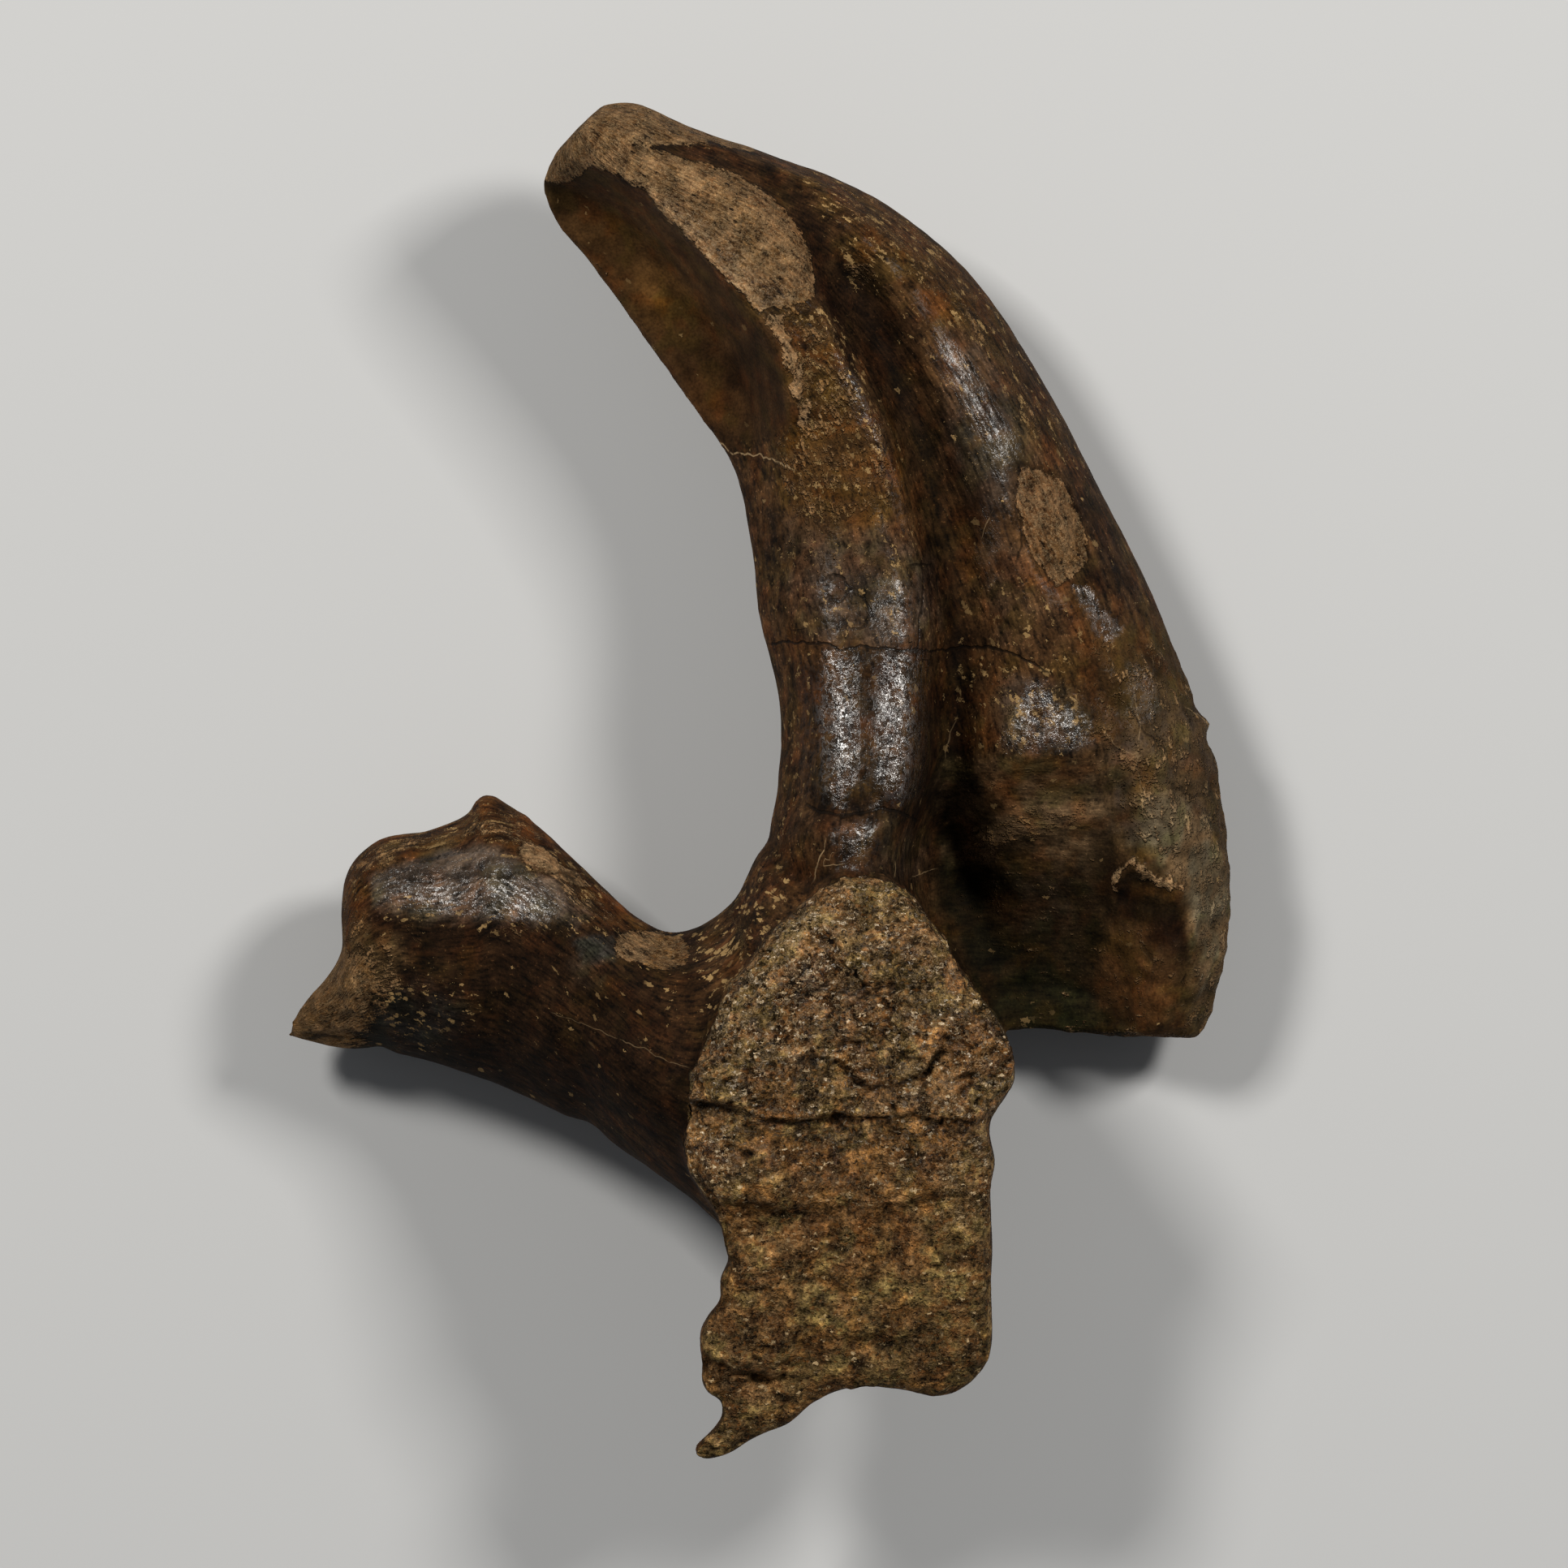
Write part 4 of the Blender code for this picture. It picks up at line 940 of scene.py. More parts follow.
# Tints of the rough face, from the first to the last laid on.
SUTURE_STAINS = (
    Stain((-6,-15, 40,-15, 40,-46, -12,-46), Tint.SAND, 0.6, 4.0, 0.6),
    Stain((2,-22, 12,-22, 16,-36, 8,-44, -6,-44, -6,-32), Tint.LILAC_GREY, 0.75, 3.0, 0.8),
    Stain((10,-24, 16,-24, 15,-31, 10,-31), Tint.RUST, 0.4, 2.5, 0.8),
    Stain((6,-30, 18,-27, 30,-34, 34,-44, 24,-48, 8,-46, -6,-47, 0,-40), Tint.UMBER, 0.65, 3.0, 0.6),
    Stain((18,-24, 24,-24, 27,-31, 22,-33), Tint.SAGE, 0.5, 2.0, 0.6),
    Stain((20,-15, 27,-21, 36,-34, 38,-44, 34,-44, 30,-36, 22,-26, 18,-18), Tint.SAND, 0.6, 1.6, 0.3),
    Stain((-12,-49.5, 38,-50.5, 36,-63, -12,-62), Tint.OCHRE, 1.0, 2.0, 0.3),
    Stain((-12,-48, 0,-50, 2,-56, -4,-61, -12,-60), Tint.CREAM, 0.5, 2.0, 0.7),
    Stain((26,-54, 36,-54, 36,-66, 26,-66), Tint.PINK_BONE, 0.6, 2.5, 0.7),
    Stain((10,-64, 24,-63, 24,-72, 12,-73), Tint.RUST, 0.85, 2.5, 0.5),
    Stain((4,-76, 20,-70, 34,-74, 36,-86, 24,-92, 4,-84), Tint.SAGE, 0.95, 3.0, 0.5),
    Stain((24,-64, 33,-63, 34,-76, 22,-76), Tint.SAGE, 0.95, 2.5, 0.5),
    Stain((10,-89, 30,-89, 36,-86, 30,-93, 8,-93), Tint.RUST, 0.6, 2.0, 0.6),
    Stain((-10,-84, 2,-86, 8,-90, -4,-98, -12,-100), Tint.CREAM, 0.9, 2.5, 0.4),
    Stain((-8,-66, 6,-70, 8,-80, -2,-82, -9,-76), Tint.SAGE, 0.8, 2.5, 0.5),
    Stain((-3,-92, 4,-88, 9,-90, 2,-95, -4,-97), Tint.SAGE, 0.8, 1.5, 0.5),
    # Painted shadows: black-brown just below three ledges, at Y -82.5, -63.5 and -49.5.
    Stain((14,-83, 21,-82, 24,-85, 16,-86), Tint.BLACK_BROWN, 0.65, 1.2, 0.5),
    Stain((-6,-62.5, 0,-63.6, 12,-64, 12,-66.5, 0,-66.5, -6,-65), Tint.BLACK_BROWN, 0.5, 1.2, 0.5),
    Stain((-3,-49.6, 6,-50.2, 22,-49.4, 32,-50, 32,-51.6, 6,-51.8, -3,-51.4), Tint.BLACK_BROWN, 0.55, 0.8,
        0.4),
    Stain((5,-40.5, 9,-40.2, 10,-42.5, 6,-43), Tint.SLATE, 0.6, 1.0, 0.4),
    Stain((12,-33, 17,-32, 19,-38, 15,-42, 10,-38), Tint.DARK_UMBER, 0.6, 2.0, 0.6),
    Stain((-5,-42, 5,-43, 12,-46, 4,-48, -8,-46), Tint.DARK_UMBER, 0.55, 2.0, 0.6),
    Stain((24,-34, 30,-36, 33,-42, 27,-43), Tint.CHESTNUT, 0.6, 2.0, 0.6),
)

# Tints that come and go over the whole rough face: how strongly, and how wide their patches are.
SUTURE_VARIETY = (
    (Tint.OCHRE, 0.7, 5.0), (Tint.CHESTNUT, 0.8, 4.5), (Tint.SAGE, 0.75, 6.0), (Tint.SAND, 0.5, 3.6),
    (Tint.DARK_UMBER, 0.6, 4.6),
)
# And over the worn places.
WORN_VARIETY = (
    (Tint.PINK_BONE, 0.45, 4.0), (Tint.CHESTNUT, 0.5, 3.0), (Tint.CHALK, 0.35, 3.0), (Tint.UMBER, 0.45, 2.2),
)

# Tints of the bone under the smooth outer bone, wherever that is rubbed off.
WORN_STAINS = (
    Stain((-26,93, -16,94, -6,89, 3,84, 6,74, 0,67, -6,71, -14,81, -26,88), Tint.CREAM, 0.65, 2.0, 0.4),
    Stain((-3,90, 4,86, 8.5,80, 9.5,71, 5,69, 3.5,77, -2,85), Tint.PINK_BONE, 0.7, 1.6, 0.5),
    Stain((2,87, 6,83, 9,77, 9,70, 6.4,71, 6.5,77, 3,82, -2,86), Tint.RUST, 0.55, 1.0, 0.5),
    Stain((-16,91, -8,88, 0,82, 5,76, 3,72, -5,78, -13,86), Tint.GOLD, 0.6, 2.0, 0.7),
    # The joint face's rim: pale worn bone, made chalk-white as a painted highlight where the rim catches the
    # light.
    Stain((-25.5,91.2, -20.5,89.3, -16,87.3, -13,84, -10,81, -7,77.8, -4,74.4, -0.5,71.2, -2,70, -8,76,
        -14,82.5, -20,88, -25,90), Tint.CHALK, 0.9, 0.7, 0.3),
    Stain((-35,87, -25,90.4, -18,94, 0,92.5, 2,98, -20,103, -36,98), Tint.SAND, 0.85, 1.2, 0.4),
    Stain((-30,99, -10,99, 0,96, -2,94, -12,96, -24,98), Tint.CHESTNUT, 0.5, 2.0, 0.6),
    Stain((0,70, 8,72, 16,52, 20,46, 20,40, 10,37, 3,40, 4,56), Tint.GOLD, 0.85, 2.0, 0.4),
    # The crest's left edge: pale worn bone, made chalk-white as a painted highlight where the ridge catches
    # the light.
    Stain((-0.5,69, 2,69.5, 6,64, 7.6,58, 8,52, 5,52, 4.2,58, 3,63), Tint.CHALK, 1.0, 1.0, 0.3),
    Stain((11,50, 19,48, 21,42, 16,38, 10,42), Tint.RUST, 0.45, 2.0, 0.5),
    Stain((6,94, 24,86, 40,68, 52,42, 40,48, 30,66, 18,76, 8,82), Tint.GOLD, 0.8, 2.0, 0.6),
    Stain((37,47, 50,47, 50,28, 37,28), Tint.PINK_BONE, 1.0, 1.0, 0.2),
    Stain((41,37, 47,40, 49,32, 44,29), Tint.GOLD, 0.6, 2.0, 0.6),
    Stain((38,46, 41,45, 42,38, 43,32, 40,33, 38,38), Tint.RUST, 0.6, 1.5, 0.5),
    Stain((26,20, 70,26, 76,-42, 26,-42), Tint.ASHEN, 0.75, 2.0, 0.3),
    Stain((48,-19, 62,-22, 66,-36, 50,-38, 46,-28), Tint.GOLD, 0.8, 2.0, 0.5),
    Stain((44,24, 58,22, 64,8, 56,0, 48,6), Tint.GOLD, 0.6, 3.0, 0.7),
    Stain((28,-14, 30,-7, 50,-2, 50,-8, 36,-11), Tint.GOLD, 0.75, 1.0, 0.4),
    Stain((52,-19, 52,-12, 64,-13, 66,-20, 62,-18, 56,-15), Tint.SAND, 0.8, 0.8, 0.3),
    Stain((-22,-20.5, -8,-20.5, -8,-29, -22,-29), Tint.OCHRE, 0.95, 1.0, 0.4),
    Stain((-64,-25, -55,-25, -58,-42, -72,-42, -72,-34), Tint.OCHRE, 0.85, 1.5, 0.4),
    Stain((-66,-8, -42,2, -30,-6, -20,-18, -26,-19, -34,-13, -44,-9, -58,-14, -60,-24, -66,-22), Tint.GOLD,
        0.7, 1.0, 0.5),
    Stain((-38,-6, -30,-9, -20,-18, -22,-21, -27,-18, -37,-12), Tint.CHALK, 1.0, 0.8, 0.3),
    Stain((-63,-35, -61.5,-34, -60,-35.2, -61,-37, -62.8,-36.8), Tint.BLACK_BROWN, 1.0, 0.5, 0.0),
    Stain((-22,-21, -16,-22, -15.5,-25, -18,-28, -22,-27), Tint.CHALK, 0.8, 1.0, 0.4),
    Stain((-12,-21.5, -9,-22, -9,-29, -12.5,-29), Tint.CHESTNUT, 0.9, 1.4, 0.3),
    Stain((57,-2, 62,-2, 67,-8, 70,-18, 68,-30, 65,-31, 64.2,-20, 63,-15, 59,-12.5, 55,-9), Tint.PALE_GREY,
        0.9, 1.2, 0.4),
    Stain((52,-17, 52,-12, 64,-13, 64,-17, 58,-15), Tint.CHALK, 0.9, 0.8, 0.2),
)


@dataclass(frozen=True)
class Place:
    """A place on the bone: its outline, how strong its mark is there, and how wide its edge is."""

    outline: Line
    strength: float
    edge: float
    upper: bool = True

    def cover(self, points: Array) -> Array:
        """Covers the place: 1 inside, 0 outside, eased over the edge's width."""
        return covered(points, (self.outline,), self.edge)


def strongest(points: Array, places: Sequence[Place]) -> Array:
    """Gives each point the strongest of the marks that places put on it."""
    return np.max([place.strength * place.cover(points) for place in places], axis=0)


# Where the outer bone is partly rubbed off: above level 0 most of it is, below it some specks.
RUBBED_PLACES = (
    Place((0,69.5, 8,71.5, 10,66, 12.5,60, 15,54.5, 13,49.5, 7,49.5, 5.2,54, 4.4,60, 2.5,65), -0.06, 1.0),
    # Rubs the crest's left edge bare, so that its chalk-white painted highlight shows.
    Place((-0.5,69, 1.6,69.4, 5,64, 6.6,58, 7.2,52, 5.2,52, 4.4,58, 3,63), 0.22, 0.8),
    Place((1,52, 10,52, 15.5,52.5, 18.8,48, 21.5,43.5, 21.5,39, 15,37, 8,36, 3.5,39, 1.5,45), -0.12, 2.0),
    Place((2,39, 12,38, 20,38, 24,32, 20,26, 8,26, 3,32), -0.24, 2.0),
    Place((4,92, 18,88, 30,79, 38,68, 44,56, 49,44, 44,46, 38,56, 30,66, 22,73, 12,80, 7,86), -0.17, 3.0),
    Place((22,78, 30,74, 37,65, 34,63, 27,69, 20,74), -0.08, 2.0),
    Place((12,77, 16,77, 18,73, 15,72), -0.02, 1.5),
    Place((36,62, 41,56, 43,50, 40,50, 36,57), -0.1, 2.0),
    Place((8.5,70, 12,66, 16,57, 19,50, 16,50, 12,58, 9,66), -0.13, 1.0),
    Place((33,16, 45,15, 50,8, 50,3.5, 33,3.5), -0.22, 2.0),
    Place((48,22, 54,21, 58,14, 58,4, 52,0, 46,6, 47,14), -0.13, 3.0),
    Place((54,20, 60,24, 66,10, 72,-4, 74,-20, 70,-38, 64,-40, 63,-30, 64,-20, 60,-13, 54,-10, 51,0), -0.1,
        2.0),
    Place((28,2, 50,3, 53,-12, 50,-28, 56,-38, 36,-38, 28,-20), -0.3, 2.0),
    Place((29,-13, 31,-7.5, 40,-4, 49.5,-3.5, 49.5,-7, 41,-8.8, 34,-12), -0.07, 1.2),
    Place((49,-21, 57,-20, 63,-23, 65,-30, 63,-37, 56,-38, 50,-34, 47,-28), -0.26, 2.0),
    Place((52.2,-16.6, 52.5,-13.9, 54.6,-12, 56,-12.6, 57.6,-13.7, 60,-14.8, 63.2,-15.5, 63.2,-16.6, 59.8,-16,
        57.2,-14.9, 55.6,-13.8, 54.4,-13.3, 53.6,-14.8, 53.4,-16.8), 0.25, 0.35),
    Place((-44,-8, -42,-4.5, -38,-5.5, -31,-12, -25,-17.5, -21,-21.5, -24,-20.5, -29,-16, -36,-10.5, -41,-9),
        0.02, 0.8),
    Place((-62,-15, -60,-11, -55,-8, -48,-6.5, -47,-9, -54,-11.5, -59,-15), -0.04, 1.0),
    Place((-64,-24, -62.5,-13, -57,-7.5, -50,-6, -43,-3.5, -41,-1, -37,-3, -30,-10, -22,-18, -17,-23, -21,-22,
        -26,-17.5, -33,-13.3, -38,-9.8, -44,-9.3, -52,-11.6, -57.5,-14, -58.3,-19, -57,-25), -0.14, 1.0),
    Place((-60,-21, -40,-20.5, -24,-21.5, -22,-24, -36,-24, -58,-25), -0.2, 1.5),
    Place((-64,-24, -54,-24, -52,-30, -56,-36, -60,-42, -74,-38), 0.0, 1.5),
    Place((-58,-28, -48,-27, -38,-33, -44,-41, -60,-42), -0.26, 3.0),
    Place((-34,-50, -20,-55, -10,-62, -6,-70, -22,-58, -38,-50), -0.22, 3.0),
    Place((-3,30, 0,30, 3,10, 2,-6, -2,-14, -3,-6, 1,8), -0.22, 1.5),
    Place((-30,84, -22,74, -10,57, -12,55, -26,72, -35,84), -0.24, 1.5),
    Place((-50,-14, -42,-12, -33,-22, -30,-32, -38,-34, -48,-26), -0.1, 3.0, upper=False),
    Place((45,-36, 64,-36, 68,0, 60,20, 52,0), -0.14, 4.0, upper=False),
    Place((-24,92, 0,84, 20,66, 16,58, -6,72, -26,84), -0.18, 5.0, upper=False),
)

# Where pale flecks lie in the smooth bone, and how thickly, from 0 to 1.
FLECKED_PLACES = (
    Place((5,92, 20,86, 33,75, 41,63, 49,46, 44,44, 38,52, 32,64, 24,72, 14,78, 6,86), 0.66, 3.0),
    Place((11,80, 16,80, 19,76, 18,72, 13,72), 0.75, 1.5),
    Place((24,76, 30,74, 36,66, 34,62, 27,68), 0.8, 2.0),
    Place((4.5,69, 9,70, 11,62, 14.5,54, 12,50, 6,51, 5,60), 0.8, 1.2),
    Place((8,70, 12,68, 17,57, 21,47, 17,46, 11,58), 0.7, 1.2),
    Place((4,50, 14,51, 20,45, 20,38, 8,37, 3,42), 0.6, 1.5),
    Place((20,70, 27,70, 38,50, 34,46, 27,50, 24,60), 0.4, 2.0),
    Place((-59,-28, -50,-26, -38,-33, -44,-41, -60,-41), 0.4, 3.0),
    Place((-56,-18.5, -30,-19.5, -20,-21.5, -21,-24, -34,-23, -56,-22.5), 0.7, 1.5),
    Place((3,18, 8,19, 9,2, 5,-8, 2,-12, 3,4), 0.5, 1.5),
    Place((26,26, 36,18, 36,-2, 30,-4, 27,2), 0.45, 2.0),
    Place((34,30, 48,24, 54,10, 50,0, 36,4, 32,16), 0.5, 2.0),
    Place((36,15, 43,15, 49,8, 49,4, 35,4), 0.85, 1.0),
    Place((29,-13, 31,-7.5, 40,-4, 49.5,-3.5, 49.5,-7, 41,-8.8, 34,-12), 0.75, 1.2),
    Place((28,2, 50,2, 50,-36, 34,-36, 28,-20), 0.15, 2.0),
    Place((-62,-24, -60,-10, -42,-2, -20,-18, -26,-18, -43,-9, -58,-14), 0.72, 1.0),
    Place((0,36, 24,38, 26,20, 2,20), 0.45, 2.0),
)

# Where cream petals lie thickly in the dark bone, and where cream chips crowd the rough face.
PETAL_PLACES = (
    Place((-10.5,-23.5, -5,-20, -1.5,-15, 3,-12, 5,-16, -0.5,-25.5, -4,-30, -7,-33, -11,-31), 1.0, 2.0),
    Place((-16,-28, -8,-27, -8,-38, -14,-34), 0.35, 3.0),
    Place((-57,-28, -47,-27, -40,-33, -46,-39, -58,-39), 0.32, 3.0),
)
CHIP_PLACES = (
    Place((-12,-14, 40,-14, 40,-50, -12,-50), 0.55, 1.5),
    Place((4,-20, 12,-17, 14,-26, 10,-34, 2,-38, -6,-44, -9,-42, -6,-32, 0,-24), 1.0, 2.5),
    Place((26,-36, 36,-38, 38,-46, 30,-46), 0.8, 3.0),
    Place((-12,-50, -3,-51, -3,-62, -12,-62), 0.75, 2.0),
    Place((24,-52, 36,-52, 36,-66, 26,-66), 0.6, 3.0),
    Place((-3,-51, 24,-51, 24,-63, -3,-63), 0.25, 3.0),
    Place((-12,-63, 38,-63, 38,-92, -12,-101), 0.12, 2.0),
)

# Where the lacquer has pooled, and how strongly it shines.
SHINY_PLACES = (
    # Two streaks down the column, and their wrinkled upper ends above the crack.
    Place((9.4,19, 14.2,19, 14.4,8, 14,0, 12.6,-3.6, 9.4,-3, 9,6, 8.6,12), 1.0, 0.8),
    Place((18,19, 25,19, 25.2,8, 24,-3, 16.8,-3.8, 17.2,4, 17.6,12), 1.0, 0.9),
    Place((14,19, 18,19, 17.6,-3, 14,-3), 0.16, 1.0),
    Place((18,29, 24.6,30, 24.6,20.6, 18,20.6, 16,25), 0.36, 1.6),
    Place((8,29, 14,30, 15,20.6, 8,20.8), 0.13, 2.4),
    Place((5.5,18, 9,18, 9,-3, 6,-3), 0.08, 1.0),
    Place((11.6,-6.6, 15.4,-6.4, 17.4,-9, 15.8,-12.2, 12.2,-12), 0.5, 1.8),
    # The crown of the main ridge, its chip, and the triangle above the canal.
    Place((26,65, 32,63, 36,57, 38.8,50, 37.8,43, 33,44, 29,50, 26,58), 0.24, 3.0),
    Place((33,42, 36,42, 36.6,34, 34,27, 31.5,31, 32,38), 0.22, 1.5),
    Place(SHINY_CHIP, 1.0, 0.4),
    Place((39.6,14.8, 42,14.2, 44,11, 48.6,8, 49.4,5.4, 46,4.2, 40,3.7, 36.4,3.9, 35.4,6, 38,9.6), 0.75, 0.7),
    Place((54.5,17, 58,16, 59,9, 56,8.6, 54.4,12), 0.5, 0.8),
    # The side process's glossy slope.
    Place((-57.6,-14.4, -52,-12.4, -46,-10.8, -41,-10.2, -36,-12.2, -31,-15.2, -26.4,-18, -30,-20.4,
        -40,-20.2, -50,-19.6, -57,-18.8), 0.38, 0.8),
    # The worn band's lower left half glistens.
    Place((-17,86.5, -10,84, -4,79, 0,74, 5,71, 0,68.6, -6,74.4, -11,79.6, -16,84.6), 0.1, 1.2),
    Place((11,63, 14,60, 20,48, 23,36, 21,36, 17,48, 12,57), 0.35, 0.8),
)


def lay(ground: Array, tint: Tint, share: Array) -> None:
    """Replaces a share of each point's colour by the tint."""
    ground += (np.array(tint.value) - ground) * share[:, None]


def tinted(ground: Array, points: Array, up: Array, stains: Sequence[Stain]) -> Array:
    """Lays stains on one after the other.

    Each stain replaces a share of the colour under it. Noise thins it out in blotches, by its patchiness.

    Args:
        ground: The colours so far, one row a point.
        points: Where, with the edges' wander already added.
        up: 1 where a point faces up and 0 where it faces down.
        stains: What to lay on, in order.

    Returns:
        The new colours.
    """
    for number, stain in enumerate(stains):
        cover = stain.share * covered(points, (stain.outline,), stain.edge)
        some = np.nonzero(cover > 0.0)[0]
        clouds = eased(layered(points[some], 4.0, 4, salt=60 + 11 * number), -0.3, 0.35)
        share = cover[some] * (1.0 - stain.patchy * clouds)
        share *= up[some] if stain.upper else 1.0 - up[some]
        ground[some] += (np.array(stain.tint.value) - ground[some]) * share[:, None]
    return ground


@dataclass(frozen=True)
class Crack:
    """A thin line in the surface, drawn in plan: dark and sunk, or pale."""

    line: Line
    width: float
    strength: float
    pale: bool = False


CRACKS = (
    Crack((0.8,20, 5,20.3, 10,20, 12,19, 15,19.5, 22,18.8, 27,19, 30,19.5, 34,19.5, 37,18.8, 40,17.3,
        43.5,15.3), 0.24, 0.9),
    Crack((21.5,31.3, 24,31.7, 26.4,31.8), 0.22, 0.8),
    Crack((26.5,31.5, 26.2,29, 26.3,26.5), 0.2, 0.8),
    Crack((24.1,31, 23.9,25, 23.4,22, 23,16), 0.22, 0.8),
    Crack((9.6,29, 10.8,30.3, 12.6,29.6, 13.1,27.6, 11.9,26.2, 10.4,26.8, 10.2,24.6), 0.26, 0.8),
    Crack((13.4,28.2, 15.6,26.6, 16.4,24.4, 15.2,22.2, 12.8,22), 0.26, 0.7),
    Crack((6,26.5, 7.6,25, 7.2,23), 0.22, 0.6),
    Crack((6.2,-3.2, 8.6,-4.6, 12,-5.4, 15.2,-4.9, 18.4,-4.3, 21,-5, 24,-6.6), 0.34, 0.85),
    Crack((-68,-38.7, -64.5,-38, -61,-38.6), 0.35, 0.8),
    Crack((48.5,17, 51.5,12.5, 50,7, 53.6,3.5, 52,-1), 0.35, 0.35),
    Crack((60,0, 63.5,-2.5, 68,-2), 0.4, 0.5),
    Crack((57.5,-5, 60.5,-7, 61.5,-11), 0.35, 0.45),
    Crack((56,-24, 58.5,-27, 58,-32), 0.4, 0.4),
    Crack((37.6,31, 38.6,34.5, 38.4,38, 37.2,41.5), 0.2, 0.7),
    Crack((47.6,14.8, 46,18, 46.5,21), 0.18, 0.5),
    Crack((54,12, 56.5,7.5, 60.5,4), 0.22, 0.6),
    Crack((-7,50.6, -4,48.2, 0,48, 3,46.7, 5.5,45.3), 0.16, 0.8, pale=True),
    Crack((-31,-34, -20,-38.4, -10,-42.7), 0.08, 0.22, pale=True),
    Crack((7.9,-15.5, 8.7,-12, 9.7,-8.6), 0.1, 0.7, pale=True),
    Crack((7.5,-13.3, 10,-12.6, 13,-12.3), 0.09, 0.5, pale=True),
    Crack((19.9,-15, 19.8,-11.5), 0.1, 0.6, pale=True),
    Crack((22,-14.8, 24.5,-13.6, 26.6,-13.2), 0.09, 0.5, pale=True),
    Crack((27.2,2, 28,6, 29.3,10), 0.09, 0.35, pale=True),
    Crack((62.4,11.2, 65,9.6, 67.3,7.6), 0.12, 0.5, pale=True),
    Crack((56.8,-4, 55.8,2, 56.2,8, 55,14), 0.09, 0.3, pale=True),
    Crack((50,8, 53,4.5, 57,3), 0.1, 0.35, pale=True),
    Crack((32.6,35, 33.3,37.5, 34.4,40), 0.09, 0.35, pale=True),
)


def nearness_to_cracks(points: Array, pale: bool) -> tuple[Array, Array]:
    """Measures how far each point is from the nearest crack of one kind.

    The sign tells the two sides apart, so that the value passes through zero in the crack. The strength
    is the crack's own, and fades to nothing at its ends and 2 mm from it.

    Args:
        points: Where, one row a point; only the first two columns count.
        pale: Which kind.

    Returns:
        The distances in widths of the crack, and the strengths.
    """
    nearest = np.full(len(points), FAR)
    signed = np.full(len(points), FAR)
    strength = np.zeros(len(points))
    for crack in (one for one in CRACKS if one.pale == pale):
        corners = corners_of(crack.line)
        run = np.concatenate([[0.0], np.cumsum(np.linalg.norm(np.diff(corners, axis=0), axis=1))])
        for number, (a, b) in enumerate(zip(corners, corners[1:])):
            along = b - a
            share, gap = gaps_to(points, a, b)
            away = np.hypot(gap[:, 0], gap[:, 1])
            side = np.sign(along[0] * gap[:, 1] - along[1] * gap[:, 0])
            at = run[number] + share * (run[number + 1] - run[number])
            fade = eased(at, 0.0, 1.5) * eased(run[-1] - at, 0.0, 1.5) * eased(-away, -2.0, -1.5)
            closer = away < nearest
            nearest = np.where(closer, away, nearest)
            signed = np.where(closer, side * away / crack.width, signed)
            strength = np.where(closer, crack.strength * fade, strength)
    return signed, strength


# Shader maths.


class Value:
    """A number that varies over a surface: a node's output, whose arithmetic adds Math nodes."""

    def __init__(self, dye: "Dye", socket: Socket) -> None:
        """Wraps an output socket of the tree that the dye fills."""
        self.dye = dye
        self.socket = socket

    def _math(self, operation: str, first: Any, second: Any = 0.0) -> "Value":
        """Adds a Math node on two values, each an output or a plain number."""
        node = self.dye.node("ShaderNodeMath", {"operation": operation}, {0: first, 1: second})
        return Value(self.dye, node.outputs[0])

    def __add__(self, other: Any) -> "Value":
        """Adds."""
        return self._math("ADD", self, other)

    __radd__ = __add__

    def __sub__(self, other: Any) -> "Value":
        """Takes the other away from this."""
        return self._math("SUBTRACT", self, other)

    def __rsub__(self, other: Any) -> "Value":
        """Takes this away from the other."""
        return self._math("SUBTRACT", other, self)

    def __mul__(self, other: Any) -> "Value":
        """Multiplies."""
        return self._math("MULTIPLY", self, other)

    __rmul__ = __mul__

    def size(self) -> "Value":
        """Drops the sign."""
        return self._math("ABSOLUTE", self)

    def most(self, other: Any) -> "Value":
        """Takes the larger of the two."""
        return self._math("MAXIMUM", self, other)

    def least(self, other: Any) -> "Value":
        """Takes the smaller of the two."""
        return self._math("MINIMUM", self, other)

    def eased(self, low: float, high: float) -> "Value":
        """Goes smoothly from 0 at low to 1 at high; with high below low it goes from 1 down to 0.

        Args:
            low: Where it starts.
            high: Where it ends.

        Returns:
            The eased value.
        """
        ends = {"Value": self, "From Min": min(low, high), "From Max": max(low, high)}
        node = self.dye.node("ShaderNodeMapRange", {"interpolation_type": "SMOOTHSTEP"}, ends)
        made = Value(self.dye, node.outputs[0])
        return 1.0 - made if high < low else made


